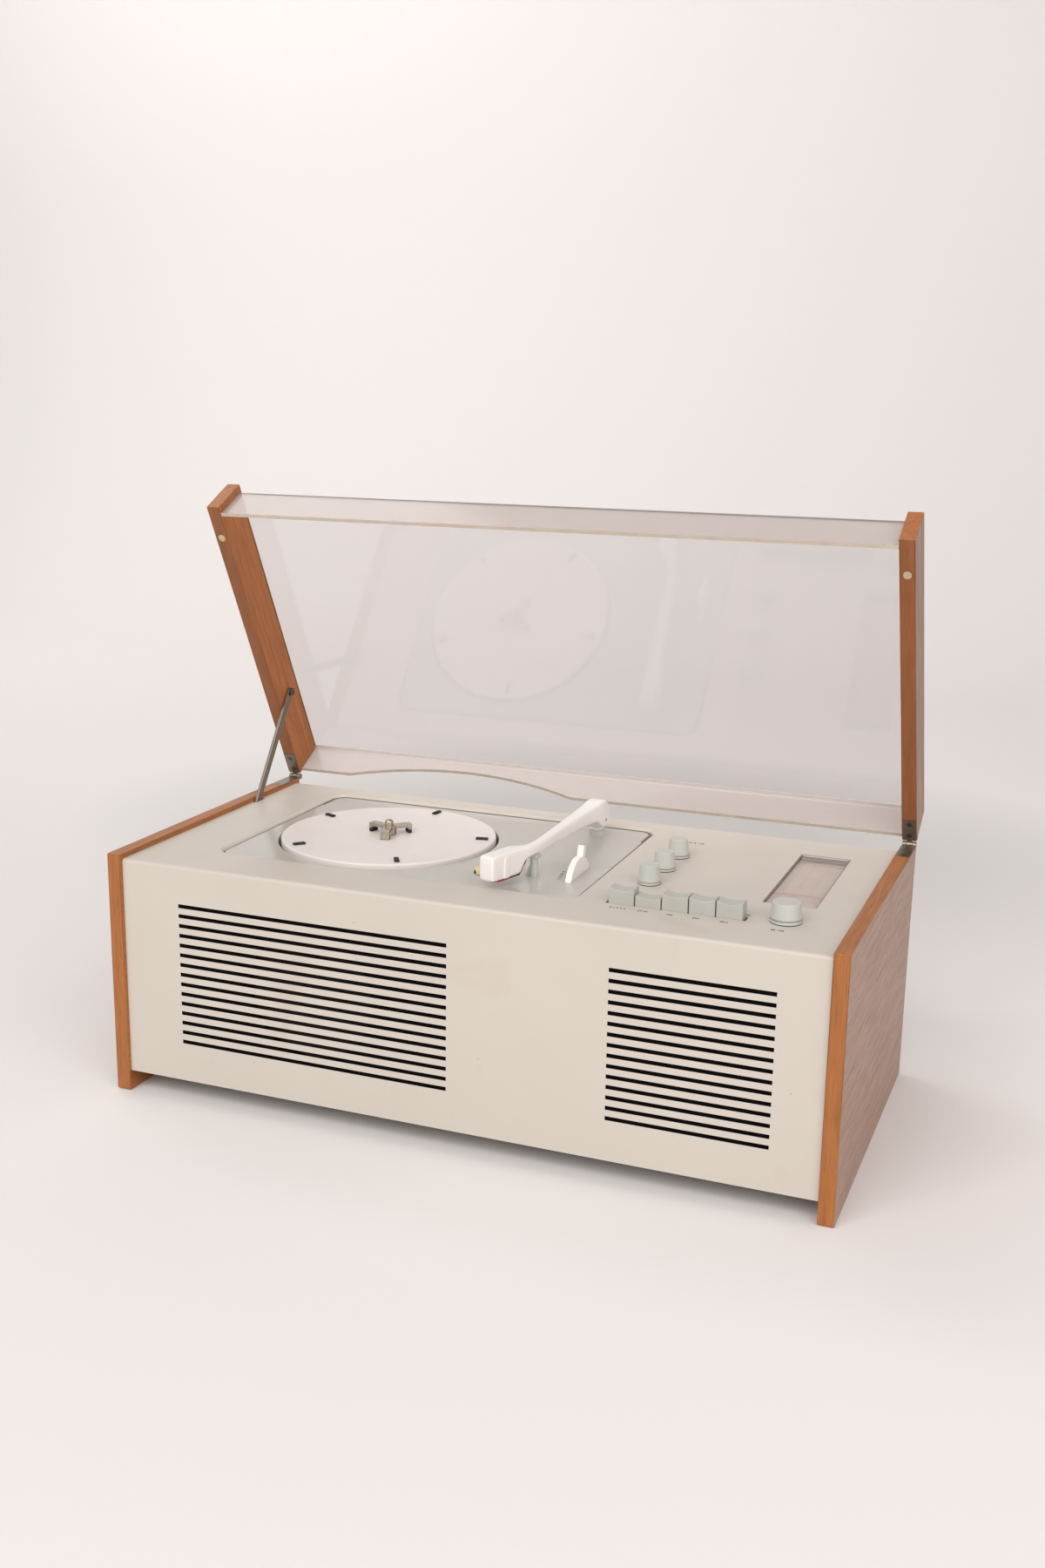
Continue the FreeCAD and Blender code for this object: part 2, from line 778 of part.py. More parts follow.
def through_top(name, x, y, radius):
    """A round hole through the top of the body."""
    return rod(name, (x, y, "Place.sheet_under - Size.cut_margin"), radius,
               "Size.sheet_thickness + 2 * Size.cut_margin")


def top_cut(name, x_low, y_low, x_high, y_high):
    """A rectangular hole through the top of the body."""
    return block(name, (x_low, y_low, "Place.sheet_under - Size.cut_margin"),
                 (x_high, y_high, "Place.body_top + Size.cut_margin"))


def rear_cut(name, x_low, z_low, x_high, z_high):
    """A rectangular hole through the rear of the body."""
    return block(name, (x_low, "Place.inside_rear - Size.cut_margin", z_low),
                 (x_high, "Place.body_rear + Size.cut_margin", z_high))


def body_shell():
    sheet = folded_sheet("body_fold", FOLD, "-Place.inner_x", "2 * Place.inner_x",
                         "Size.fold_radius", "Size.sheet_thickness")
    rim = deck_box("deck_rim", "Size.rim_wall", "Place.rim_under", "Place.body_top")
    opening = deck_box("deck_opening", "0", "Place.rim_under - Size.cut_margin",
                       "Place.body_top + Size.cut_margin")
    rimmed = cut("rimmed_body", join("body_and_rim", sheet, rim), opening)
    reach = val("Place.inner_x - Size.cut_margin")
    rolled = rounded("rolled_rim", rimmed, "Size.rim_radius",
                     at_height("Place.body_top", lambda box: abs(box.XMin) < reach and abs(box.XMax) < reach
                               and box.YMin > val("Place.body_front + Size.fold_radius + Size.cut_margin")
                               and box.YMax < val("Place.body_rear - Size.fold_radius - Size.cut_margin")))
    tabbed = join("tabbed_body", rolled, *deck_tabs())
    hole = "Size.knob_shaft_radius + Size.shaft_hole_gap"
    tools = grille_slots()
    tools += [through_top(f"knob_hole{number}", "Place.knob_x", y, hole)
              for number, y in enumerate(knob_places())]
    tools.append(through_top("tuning_hole", "Place.tuning_x", "Place.tuning_y", hole))
    tools.append(top_cut("key_slot", "Place.key_x - Place.key_bank_half - Size.key_slot_end_gap",
                         "Place.key_y - Size.key_slot_front_gap",
                         "Place.key_x + Place.key_bank_half + Size.key_slot_end_gap",
                         "Place.key_y + Size.key_depth + Size.key_slot_rear_gap"))
    tools.append(top_cut("window_hole", "Place.window_left", "Place.window_front",
                         "Place.window_right", "Place.window_rear"))
    tools.append(top_cut("stay_notch", "-Place.inner_x - Size.cut_margin",
                         "Place.notch_y - Size.notch_front",
                         "Place.stay_out + Size.notch_side_gap", "Place.notch_y + Size.notch_rear"))
    half = "Place.socket_width / 2 - Size.socket_lip"
    tools.append(rear_cut("socket_hole", f"Place.socket_x - ({half})",
                          "Place.socket_low + Size.socket_lip",
                          f"Place.socket_x + ({half})",
                          "Place.socket_low + Size.socket_panel_height"
                          " - Size.socket_lip"))
    tools.append(rear_cut("inlet_hole", "Place.socket_x - Size.inlet_width / 2 + Size.inlet_wall",
                          "Place.inlet_low + Size.inlet_wall",
                          "Place.socket_x + Size.inlet_width / 2 - Size.inlet_wall",
                          "Place.inlet_low + Size.inlet_height - Size.inlet_wall"))
    return node("body_shell", cut("pierced_body", tabbed, *tools))


body_shell()


# Base plate, with a flange screwed to each panel
def base_plate():
    low = ("-Place.inner_x", "Place.inside_front", "Place.base_low")
    plate = block("base_sheet", low, ("Place.inner_x", "Place.inside_rear", "Place.base_high"))
    flange_top = "Place.base_high + Size.base_flange"
    left = block("base_flange_left", low,
                 ("-Place.inner_x + Size.base_thickness", "Place.inside_rear", flange_top))
    right = block("base_flange_right",
                  ("Place.inner_x - Size.base_thickness", "Place.inside_front", "Place.base_low"),
                  ("Place.inner_x", "Place.inside_rear", flange_top))
    holes = []
    for number, place in enumerate(base_screw_places()):
        holes.append(rod(f"base_flange_hole{number}", ("-Place.inner_x - Size.cut_margin", place,
                                                       base_screw_z()),
                         "Size.base_screw_radius + Size.screw_clearance",
                         "2 * Place.inner_x + 2 * Size.cut_margin", "x"))
    return node("base_plate", cut("base_cut", join("base_folded", plate, left, right), *holes))


base_plate()


# Boards behind the grilles, and the loudspeaker on the left one
def grille_backing(name, start, width):
    margin = "Size.backing_margin"
    return block(name, (f"{start} - {margin}", "Place.inside_front", f"Place.slot_bottom - {margin}"),
                 (f"{start} + {width} + {margin}", "Place.backing_rear", f"Place.slot_top + {margin}"))


def grille_backings():
    left = grille_backing("left_board", "Place.left_slots", "Size.left_grille_width")
    right = grille_backing("right_board", "Place.right_slots", "Size.right_grille_width")
    hole = rod("speaker_hole", ("Place.speaker_x", "Place.inside_front - Size.cut_margin",
                                "Place.speaker_z"),
               "Size.speaker_radius - Size.speaker_flange",
               "Size.backing_thickness + 2 * Size.cut_margin", "y")
    return node("grille_backings", group("backings", [cut("left_backing", left, hole), right]))


def face_rear(item, x, y, z):
    """Point a turned piece's own Z axis to the rear, from a place."""
    put(item, x, y, z)
    return turn(item, TURN_ABOUT_X, "-90")


def loudspeaker():
    mouth = "Size.speaker_radius - Size.speaker_wall"
    throat = "Size.magnet_radius - Size.speaker_wall"
    basket = turned("basket", [
        (mouth, "0"),
        ("Size.speaker_radius", "0"),
        ("Size.speaker_radius", "Size.speaker_wall"),
        ("Size.magnet_radius", "Size.speaker_depth"),
        ("Size.magnet_radius", "Size.speaker_depth + Size.magnet_length"),
        ("0", "Size.speaker_depth + Size.magnet_length"),
        ("0", "Size.speaker_depth"),
        (throat, "Size.speaker_depth"),
        (mouth, "Size.speaker_wall"),
    ])
    cone = turned("cone", [
        (f"{mouth} - 2 * Size.cone_wall", "Size.cone_wall"),
        (f"{mouth} - Size.screw_clearance", "Size.cone_wall"),
        (f"{mouth} - Size.screw_clearance", "Size.speaker_wall"),
        (f"{mouth} - Size.cone_wall", "Size.speaker_wall"),
        (f"{throat} - 2 * Size.cone_wall", "Size.speaker_depth - Size.cone_wall"),
        ("0", "Size.speaker_depth - Size.cone_wall"),
        ("0", "Size.speaker_depth - 2 * Size.cone_wall"),
        (f"{throat} - 3 * Size.cone_wall", "Size.speaker_depth - 2 * Size.cone_wall"),
    ])
    for label, item in {"loudspeaker_basket": basket, "loudspeaker_cone": cone}.items():
        node(label, face_rear(item, "Place.speaker_x", "Place.backing_rear", "Place.speaker_z"))


grille_backings()
loudspeaker()


# Deck plate with the platter's well, and its rubber mounts
def deck_hole(name, x, y, radius):
    return rod(name, (x, y, "Place.well_under - Size.cut_margin"), radius,
               "Place.deck_top - Place.well_under + 2 * Size.cut_margin")


def deck_plate():
    sheet = deck_box("deck_sheet", "-Size.deck_gap", "Place.deck_under", "Place.deck_top")
    cup = rod("well_cup", ("Place.platter_x", "Place.platter_y", "Place.well_under"),
              "Place.well_radius + Size.well_wall", "Place.deck_top - Place.well_under")
    well = rod("well_space", ("Place.platter_x", "Place.platter_y", "Place.well_floor"),
               "Place.well_radius", "Size.well_depth + Size.cut_margin")
    dished = cut("dished_deck", join("deck_and_cup", sheet, cup), well)
    soft = rounded("soft_deck", dished, "Size.deck_edge_radius", at_height("Place.deck_top"))
    half_chord = "sqrt(Size.lever_radius ^ 2 - (Size.lever_drop - Size.deck_thickness) ^ 2)"
    slot_half = f"{half_chord} + Size.lever_slot_clearance"
    slot_side = "Size.lever_thickness / 2 + Size.lever_gap"
    holes = [
        deck_hole("bearing_hole", "Place.platter_x", "Place.platter_y",
                  "Size.bearing_radius + Size.screw_clearance"),
        deck_hole("pulley_hole", "Place.pulley_x", "Place.pulley_y", "Size.pulley_radius + Size.well_wall"),
        deck_hole("post_hole", "Place.arm_x", "Place.arm_y",
                  "Size.post_stem_radius + Size.screw_clearance"),
        block("lever_slot", (f"Place.lever_x - ({slot_side})", f"Place.lever_y - ({slot_half})",
                             "Place.deck_under - Size.cut_margin"),
              (f"Place.lever_x + ({slot_side})", f"Place.lever_y + ({slot_half})",
               "Place.deck_top + Size.cut_margin")),
    ]
    stud = rod("idler_stud", ("Place.idler_x", "Place.idler_y", "Place.well_under"), "Size.stud_radius",
               "Place.idler_high - Place.well_under")
    return node("deck_plate", join("deck_with_stud", cut("pierced_deck", soft, *holes), stud))


def deck_grommets():
    inset = "Size.tab_length / 2"
    mounts = []
    for x in (f"Place.deck_left + {inset}", f"Place.deck_right - {inset}"):
        for y in (f"Place.deck_front + {inset}", f"Place.deck_rear - {inset}"):
            mounts.append(rod(f"grommet{len(mounts)}", (x, y, "Place.tab_top"), "Size.grommet_radius",
                              "Place.deck_under - Place.tab_top"))
    return node("deck_grommets", group("grommets", mounts))


deck_plate()
deck_grommets()


# Platter, pads, spindle, bearing and record adapter, each drawn about the platter's axis
def on_platter(label, item, height="Place.platter_top"):
    return node(label, put(item, "Place.platter_x", "Place.platter_y", height))


def platter():
    bore = "Size.shaft_radius + Size.screw_clearance"
    dish = turned("platter_dish", [
        (bore, "0"),
        ("Size.platter_radius", "0"),
        ("Size.platter_radius", "-Size.platter_depth"),
        ("Place.rim_inside", "-Size.platter_depth"),
        ("Place.rim_inside", "-Size.platter_thickness"),
        ("Size.hub_radius", "-Size.platter_thickness"),
        ("Size.hub_radius", "-Size.hub_depth"),
        (bore, "-Size.hub_depth"),
    ])
    edge_radius = val("Size.platter_radius")
    soften(dish, "Size.platter_edge_radius",
           lambda edge: abs(edge.BoundBox.XMax - edge_radius) < 1e-6 and abs(edge.BoundBox.ZMax) < 1e-6
           and edge.BoundBox.ZLength < 1e-6)
    return on_platter("platter", dish)


def platter_pads():
    pads = []
    for number in range(int(Size.pad_count)):
        pad = block(f"pad{number}", ("Size.pad_ring_radius - Size.pad_length / 2",
                                     "-Size.pad_width / 2", "0"),
                    ("Size.pad_ring_radius + Size.pad_length / 2", "Size.pad_width / 2", "Size.pad_height"))
        ring = group(f"pad_place{number}", [pad])
        pads.append(turn(ring, TURN_ABOUT_Z, f"Size.pad_start_angle + {number} * 360 / Size.pad_count"))
    return on_platter("platter_pads", group("pads", pads))


def spindle():
    pin = turned("spindle_pin", [
        ("0", "-Size.shaft_length"),
        ("Size.shaft_radius", "-Size.shaft_length"),
        ("Size.shaft_radius", "0"),
        ("Size.spindle_radius", "0"),
        ("Size.spindle_radius", "Size.spindle_rise"),
        ("0", "Size.spindle_rise"),
    ])
    soften(pin, "Size.spindle_dome", lambda edge: edge.BoundBox.ZMin > val("Size.spindle_rise") - 1e-6)
    return on_platter("spindle", pin)


def platter_bearing():
    bore = "Size.shaft_radius + Size.running_clearance"
    shaft_low = "Place.platter_top - Size.shaft_length - Size.bearing_gap"
    return on_platter("platter_bearing", turned("bearing", [
        ("0", f"{shaft_low} - Size.bearing_floor"),
        ("Size.bearing_radius", f"{shaft_low} - Size.bearing_floor"),
        ("Size.bearing_radius", "Place.bearing_top"),
        (bore, "Place.bearing_top"),
        (bore, shaft_low),
        ("0", shaft_low),
    ]), "0")


def record_adapter():
    low = "Size.adapter_gap"
    high = "Size.adapter_gap + Size.adapter_height"
    half = "Size.adapter_arm_width / 2"
    arms = [rod("adapter_boss", ("0", "0", low), "Size.adapter_boss_radius", f"{high} - ({low})")]
    for number in range(3):
        beam = block(f"adapter_beam{number}", ("0", f"-{half}", f"{high} - Size.adapter_thickness"),
                     ("Size.adapter_radius", half, high))
        leg = block(f"adapter_leg{number}", ("Size.adapter_radius - Size.adapter_leg", f"-{half}", low),
                    ("Size.adapter_radius", half, high))
        arms.append(turn(join(f"adapter_arm{number}", beam, leg), TURN_ABOUT_Z,
                         f"Size.adapter_angle + {number} * 120"))
    bore = rod("adapter_bore", ("0", "0", "0"), "Size.spindle_radius + Size.running_clearance",
               f"{high} + Size.cut_margin")
    return on_platter("record_adapter", cut("adapter_star", join("adapter_arms", *arms), bore))


platter()
platter_pads()
spindle()
platter_bearing()
record_adapter()


# Friction drive: motor, pulley and idler wheel
def drive():
    motor = rod("motor_can", ("Place.pulley_x", "Place.pulley_y", "Place.well_under - Size.motor_length"),
                "Place.motor_radius", "Size.motor_length")
    bore = rod("motor_bore", ("Place.pulley_x", "Place.pulley_y",
                              "Place.well_under - Size.motor_shaft_depth - Size.bearing_gap"),
               "Size.stud_radius + Size.running_clearance",
               "Size.motor_shaft_depth + Size.bearing_gap + Size.cut_margin")
    node("drive_motor", cut("bored_motor", motor, bore))
    drop = "Place.idler_low - Place.well_under"
    steps = turned("pulley_steps", [
        ("0", f"-({drop}) - Size.motor_shaft_depth"),
        ("Size.stud_radius", f"-({drop}) - Size.motor_shaft_depth"),
        ("Size.stud_radius", "-Size.drive_gap"),
        ("Size.pulley_radius", "-Size.drive_gap"),
        ("Size.pulley_radius", "Size.idler_thickness"),
        ("0", "Size.idler_thickness"),
    ])
    node("motor_pulley", put(steps, "Place.pulley_x", "Place.pulley_y", "Place.idler_low"))
    bore_radius = "Size.stud_radius + Size.running_clearance"
    wheel = turned("idler_tyre", [
        (bore_radius, "0"),
        ("Size.idler_radius - Size.drive_gap", "0"),
        ("Size.idler_radius", "Size.drive_gap"),
        ("Size.idler_radius", "Size.idler_thickness - Size.drive_gap"),
        ("Size.idler_radius - Size.drive_gap", "Size.idler_thickness"),
        (bore_radius, "Size.idler_thickness"),
    ])
    node("idler_wheel", put(wheel, "Place.idler_x", "Place.idler_y", "Place.idler_low"))


drive()


# Tone arm, drawn with its pivot at the origin and its head towards the front
def at_pivot(label, item):
    return node(label, put(item, "Place.arm_x", "Place.arm_y", "Place.arm_z"))


def ring_face(corners):
    """A flat face inside a closed run of points."""
    return Part.Face(Part.makePolygon(corners + corners[:1]))


def head_point(forward, across):
    """A point of the head's plan: distance behind its front end, and to its right."""
    angle = math.radians(Size.head_angle)
    ahead = FreeCAD.Vector(-math.sin(angle), -math.cos(angle), 0)
    right = FreeCAD.Vector(math.cos(angle), -math.sin(angle), 0)
    front = FreeCAD.Vector(-Size.head_offset, -Size.head_reach, 0)
    return front - ahead * forward + right * across


def arm_section(middle, half, low, high, angle):
    """A rounded rectangle across the arm, between two heights from the pivot."""
    bend = min(Size.arm_edge_radius, (high - low) / 3)
    nip = bend * (1 - math.sqrt(0.5))
    right = FreeCAD.Vector(math.cos(math.radians(angle)), -math.sin(math.radians(angle)), 0)
    runs = [
        [(half, low + bend), (half, high - bend)],
        [(half, high - bend), (half - nip, high - nip), (half - bend, high)],
        [(half - bend, high), (bend - half, high)],
        [(bend - half, high), (nip - half, high - nip), (-half, high - bend)],
        [(-half, high - bend), (-half, low + bend)],
        [(-half, low + bend), (nip - half, low + nip), (bend - half, low)],
        [(bend - half, low), (half - bend, low)],
        [(half - bend, low), (half - nip, low + nip), (half, low + bend)],
    ]
    edges = []
    for run in runs:
        places = [middle + right * across + FreeCAD.Vector(0, 0, up) for across, up in run]
        curve = Part.LineSegment(*places) if len(places) == 2 else Part.Arc(*places)
        edges.append(curve.toShape())
    return Part.Wire(edges)


def arm_sections():
    """Sections of the arm from its tail to the front of its head."""
    sections = []
    for name in ARM_SECTIONS:
        along, across, half, low, high = (getattr(Size, f"{name}_{field}") for field in ARM_FIELDS)
        sections.append(arm_section(FreeCAD.Vector(across, along, 0), half, low, high, 0))
    neck = FreeCAD.Vector(Size.neck_across, Place.neck_along, 0)
    sections.append(arm_section(neck, Size.neck_half, Size.neck_low, Size.neck_high, 0))
    half = Size.head_width / 2
    low, high = -Size.head_bottom, Size.head_top
    nose = Size.arm_edge_radius
    for behind, width, bottom, top in (
            (Size.head_length, half, Size.neck_low, high),
            (Size.head_length - Size.head_heel, half, low, high),
            (nose, half, low, high),
            (0, half - nose, low + nose, high - nose)):
        sections.append(arm_section(head_point(behind, 0), width, bottom, top, Size.head_angle))
    return sections


def tonearm():
    arm = Part.makeLoft(arm_sections(), True, True)
    slot_half = Size.yoke_width / 2 + Size.yoke_gap
    slot_reach = Size.yoke_depth / 2 + Size.yoke_swing_room
    slot_top = Size.yoke_crown + Size.yoke_swing_room
    tall = Size.head_bottom + slot_top
    slot = Part.makeBox(2 * slot_half, 2 * slot_reach, tall,
                        FreeCAD.Vector(-slot_half, -slot_reach, -Size.head_bottom))
    pin = Part.makeCylinder(Size.pin_radius + Size.running_clearance, 4 * Size.heel_half,
                            FreeCAD.Vector(-2 * Size.heel_half, 0, 0), FreeCAD.Vector(1, 0, 0))
    arm = arm.cut(slot.fuse(pin)).cut(cartridge_space(Size.screw_clearance)).cut(lift_shape())
    item = doc.addObject("Part::Feature", "arm_shape")
    item.Shape = arm.Solids[0]
    return at_pivot("tonearm", item)


def head_box(length, width, setback, low, high):
    """An upright box turned with the head: its length runs back from a setback."""
    half = width / 2
    corners = [head_point(setback, -half), head_point(setback, half),
               head_point(setback + length, half), head_point(setback + length, -half)]
    face = ring_face([corner + FreeCAD.Vector(0, 0, low) for corner in corners])
    return face.extrude(FreeCAD.Vector(0, 0, high - low))


def cartridge_setback():
    return (Size.head_length - Size.cartridge_length) / 2


def cartridge_space(clearance):
    low = -Size.head_bottom - Size.cartridge_drop
    return head_box(Size.cartridge_length, Size.cartridge_width + 2 * clearance, cartridge_setback(),
                    low, low + Size.cartridge_height)


def lift_shape():
    """The side knob of the head, pointing left, from inside the head's wall."""
    angle = math.radians(Size.head_angle)
    left = FreeCAD.Vector(-math.cos(angle), math.sin(angle), 0)
    seat = head_point(Size.lift_setback, Size.lift_seat - Size.head_width / 2)
    start = seat + FreeCAD.Vector(0, 0, -Size.head_bottom + Size.lift_rise)
    return Part.makeCylinder(Size.lift_radius, Size.lift_length, start, left)


def arm_trim():
    cartridge = doc.addObject("Part::Feature", "cartridge_shape")
    cartridge.Shape = cartridge_space(0)
    at_pivot("cartridge", cartridge)
    low = -Size.head_bottom - Size.cartridge_drop
    tip = head_point(cartridge_setback() + Size.lift_setback / 2, 0) + FreeCAD.Vector(0, 0, low)
    stylus = doc.addObject("Part::Feature", "stylus_shape")
    stylus.Shape = Part.makeCone(Size.stylus_radius, Size.stylus_radius / 4, Size.stylus_drop, tip,
                                 FreeCAD.Vector(0, 0, -1))
    at_pivot("stylus", stylus)
    lift = doc.addObject("Part::Feature", "lift_shape")
    knob = lift_shape()
    rim = [edge for edge in knob.Edges if edge.Closed]
    outer = min(rim, key=lambda edge: edge.CenterOfMass.x)
    lift.Shape = knob.makeFillet(Size.lift_radius / 3, [outer])
    at_pivot("finger_lift", lift)


def arm_post():
    bore = rod("post_bore", ("Place.arm_x", "Place.arm_y", "Place.deck_under - Size.post_stem_depth"),
               "Size.shaft_radius + Size.running_clearance",
               "Place.post_top - Place.deck_under + Size.post_stem_depth + Size.cut_margin")
    cap = rod("post_cap", ("Place.arm_x", "Place.arm_y", "Place.deck_top"), "Size.post_radius",
              "Size.post_height")
    stem = rod("post_stem", ("Place.arm_x", "Place.arm_y", "Place.deck_under - Size.post_stem_depth"),
               "Size.post_stem_radius", "Place.deck_top - Place.deck_under + Size.post_stem_depth")
    return node("arm_post", cut("bored_post", join("post_solid", cap, stem), bore))


def arm_yoke():
    low = "Place.post_top + Size.yoke_gap"
    shaft_low = "Place.deck_under - Size.post_stem_depth"
    shaft = rod("yoke_shaft", ("Place.arm_x", "Place.arm_y", shaft_low), "Size.shaft_radius",
                f"{low} - ({shaft_low})")
    head = block("yoke_head",
                 ("Place.arm_x - Size.yoke_width / 2", "Place.arm_y - Size.yoke_depth / 2", low),
                 ("Place.arm_x + Size.yoke_width / 2", "Place.arm_y + Size.yoke_depth / 2",
                  "Place.arm_z + Size.yoke_crown"))
    hole = rod("yoke_hole", ("Place.arm_x - Size.yoke_width", "Place.arm_y", "Place.arm_z"),
               "Size.pin_radius", "2 * Size.yoke_width", "x")
    return node("arm_yoke", cut("bored_yoke", join("yoke_solid", shaft, head), hole))


def arm_pivot_pin():
    return node("arm_pivot_pin", rod("pivot_pin", ("Place.arm_x - Size.heel_half", "Place.arm_y",
                                                   "Place.arm_z"),
                                     "Size.pin_radius", "2 * Size.heel_half", "x"))


def arm_rest():
    x = "Place.arm_x + Size.neck_across"
    y = "Place.arm_y + Place.neck_along"
    top = "Place.arm_z + Size.neck_low - Size.rest_gap"
    half = "Size.rest_saddle / 2"
    post = rod("rest_post", (x, y, "Place.deck_top"), "Size.rest_radius",
               f"{top} - Size.rest_saddle_height - Place.deck_top")
    saddle = block("rest_top", (f"{x} - {half}", f"{y} - Size.rest_radius",
                                f"{top} - Size.rest_saddle_height"),
                   (f"{x} + {half}", f"{y} + Size.rest_radius", top))
    return node("arm_rest", join("rest_solid", post, saddle))


tonearm()
arm_trim()
arm_post()
arm_yoke()
arm_pivot_pin()
arm_rest()


# Speed lever on a pin between two ears under the deck
def speed_lever():
    half = "Size.lever_thickness / 2"
    disc = rod("lever_disc", (f"Place.lever_x - {half}", "Place.lever_y", "Place.lever_z"),
               "Size.lever_radius", "Size.lever_thickness", "x")
    tab = block("lever_tab_bar", (f"-{half}", "-Size.lever_tab_width / 2", "0"),
                (half, "Size.lever_tab_width / 2", "Size.lever_tab_reach"))
    leaning = put(turn(group("lever_tab", [tab]), TURN_ABOUT_X, "-Size.lever_tab_angle"),
                  "Place.lever_x", "Place.lever_y", "Place.lever_z")
    hole = rod("lever_hole", (f"Place.lever_x - {half} - Size.cut_margin", "Place.lever_y",
                              "Place.lever_z"),
               "Size.lever_pin_radius + Size.running_clearance",
               "Size.lever_thickness + 2 * Size.cut_margin", "x")
    return node("speed_lever", cut("bored_lever", join("lever_solid", disc, leaning), hole))


def lever_bracket():
    half = "Size.lever_thickness / 2 + Size.lever_gap"
    pieces = []
    for side in (-1, 1):
        near = f"Place.lever_x + {side} * ({half})"
        far = f"Place.lever_x + {side} * ({half} + Size.ear_thickness)"
        low_x, high_x = (near, far) if side > 0 else (far, near)
        pieces.append(block(f"ear{len(pieces)}",
                            (low_x, "Place.lever_y - Size.ear_width / 2", "Place.lever_z - Size.ear_below"),
                            (high_x, "Place.lever_y + Size.ear_width / 2", "Place.deck_under")))
    pieces.append(rod("lever_pin", (f"Place.lever_x - ({half} + Size.ear_thickness)", "Place.lever_y",
                                    "Place.lever_z"),
                      "Size.lever_pin_radius", f"2 * ({half} + Size.ear_thickness)", "x"))
    return node("lever_bracket", join("bracket_solid", *pieces))


speed_lever()
lever_bracket()


# Push keys in their frame
PRESSED_KEY = 2


def key_middle(number):
    return f"Place.key_x + ({number} - (Size.key_count + 1) / 2) * Size.key_pitch"


def push_key(number):
    name = f"key_{number}"
    middle = key_middle(number)
    drop = "Size.key_travel" if number == PRESSED_KEY else "0"
    half = "Size.key_width / 2"
    cap = block(name + "_cap", (f"{middle} - {half}", "Place.key_y", f"Place.key_low - {drop}"),
                (f"{middle} + {half}", "Place.key_y + Size.key_depth", f"Place.key_top - {drop}"))
    reach = f"({half} - Size.key_lip)"
    curve = f"({reach} ^ 2 + Size.key_dish ^ 2) / (2 * Size.key_dish)"
    dish = rod(name + "_dish", (middle, "Place.key_y - Size.cut_margin",
                                f"Place.key_top - {drop} - Size.key_dish + {curve}"),
               curve, "Size.key_depth + 2 * Size.cut_margin", "y")
    stem_y = "Place.key_y + Size.key_depth / 2"
    stem = block(name + "_stem",
                 (f"{middle} - Size.stem_width / 2", f"{stem_y} - Size.stem_depth / 2",
                  f"Place.key_low - {drop} - Size.stem_length"),
                 (f"{middle} + Size.stem_width / 2", f"{stem_y} + Size.stem_depth / 2",
                  f"Place.key_low - {drop}"))
    return node(name, join(name + "_solid", cut(name + "_dished", cap, dish), stem))


def key_frame():
    reach = "Place.key_bank_half + Size.key_frame_margin"
    y_low = "Place.key_y - Size.key_frame_wall"
    y_high = "Place.key_y + Size.key_depth + Size.key_frame_wall"
    rail = block("key_rail", (f"Place.key_x - ({reach})", y_low, "Place.frame_low"),
                 (f"Place.key_x + {reach}", y_high, "Place.frame_top"))
    ends = []
    for side in (-1, 1):
        inner = f"Place.key_x + {side} * ({reach} - Size.key_frame_wall)"
        outer = f"Place.key_x + {side} * ({reach})"
        low_x, high_x = (inner, outer) if side > 0 else (outer, inner)
        ends.append(block(f"key_end{len(ends)}", (low_x, y_low, "Place.frame_low"),
                          (high_x, y_high, "Place.sheet_under")))
    slots = []
    stem_y = "Place.key_y + Size.key_depth / 2"
    for number in range(1, int(Size.key_count) + 1):
        middle = key_middle(number)
        half_x = "(Size.stem_width / 2 + Size.stem_gap)"
        half_y = "(Size.stem_depth / 2 + Size.stem_gap)"
        slots.append(block(f"stem_slot{number}",
                           (f"{middle} - {half_x}", f"{stem_y} - {half_y}",
                            "Place.frame_low - Size.cut_margin"),
                           (f"{middle} + {half_x}", f"{stem_y} + {half_y}",
                            "Place.frame_top + Size.cut_margin")))
    return node("key_frame", cut("slotted_frame", join("frame_solid", rail, *ends), *slots))


for key_number in range(1, int(Size.key_count) + 1):
    push_key(key_number)
key_frame()


# Knobs on their shafts, and what the shafts turn in
def knob(name, base, top, height, flange, groove, shaft_length):
    return turned(name, [
        ("0", f"-({shaft_length})"),
        ("Size.knob_shaft_radius", f"-({shaft_length})"),
        ("Size.knob_shaft_radius", "Size.knob_gap"),
        (base, "Size.knob_gap"),
        (base, flange),
        (f"{base} - {groove}", flange),
        (f"{base} - {groove}", f"{flange} + {groove}"),
        (f"{base} - {groove} / 2", f"{flange} + {groove}"),
        (top, height),
        (f"{top} - 2 * Size.knob_dish", height),
        (f"{top} - 4 * Size.knob_dish", f"{height} - Size.knob_dish"),
        ("0", f"{height} - Size.knob_dish"),
    ])


def small_knobs():
    pots = []
    length = "Size.sheet_thickness + Size.knob_shaft_length"
    for label, y in zip(("volume_knob", "bass_knob", "treble_knob"), knob_places()):
        piece = knob(label + "_turned", "Size.knob_base_radius", "Size.knob_top_radius", "Size.knob_height",
                     "Size.knob_flange", "Size.knob_gap", length)
        node(label, put(piece, "Place.knob_x", y, "Place.body_top"))
        can = rod(f"pot_can{len(pots)}", ("Place.knob_x", y, "Place.sheet_under - Size.pot_height"),
                  "Size.pot_radius", "Size.pot_height")
        bore = rod(f"pot_bore{len(pots)}",
                   ("Place.knob_x", y, "Place.sheet_under - Size.knob_shaft_length - Size.knob_gap"),
                   "Size.knob_shaft_radius + Size.running_clearance",
                   "Size.knob_shaft_length + Size.knob_gap + Size.cut_margin")
        pots.append(cut(f"pot{len(pots)}", can, bore))
    node("control_pots", group("pots", pots))


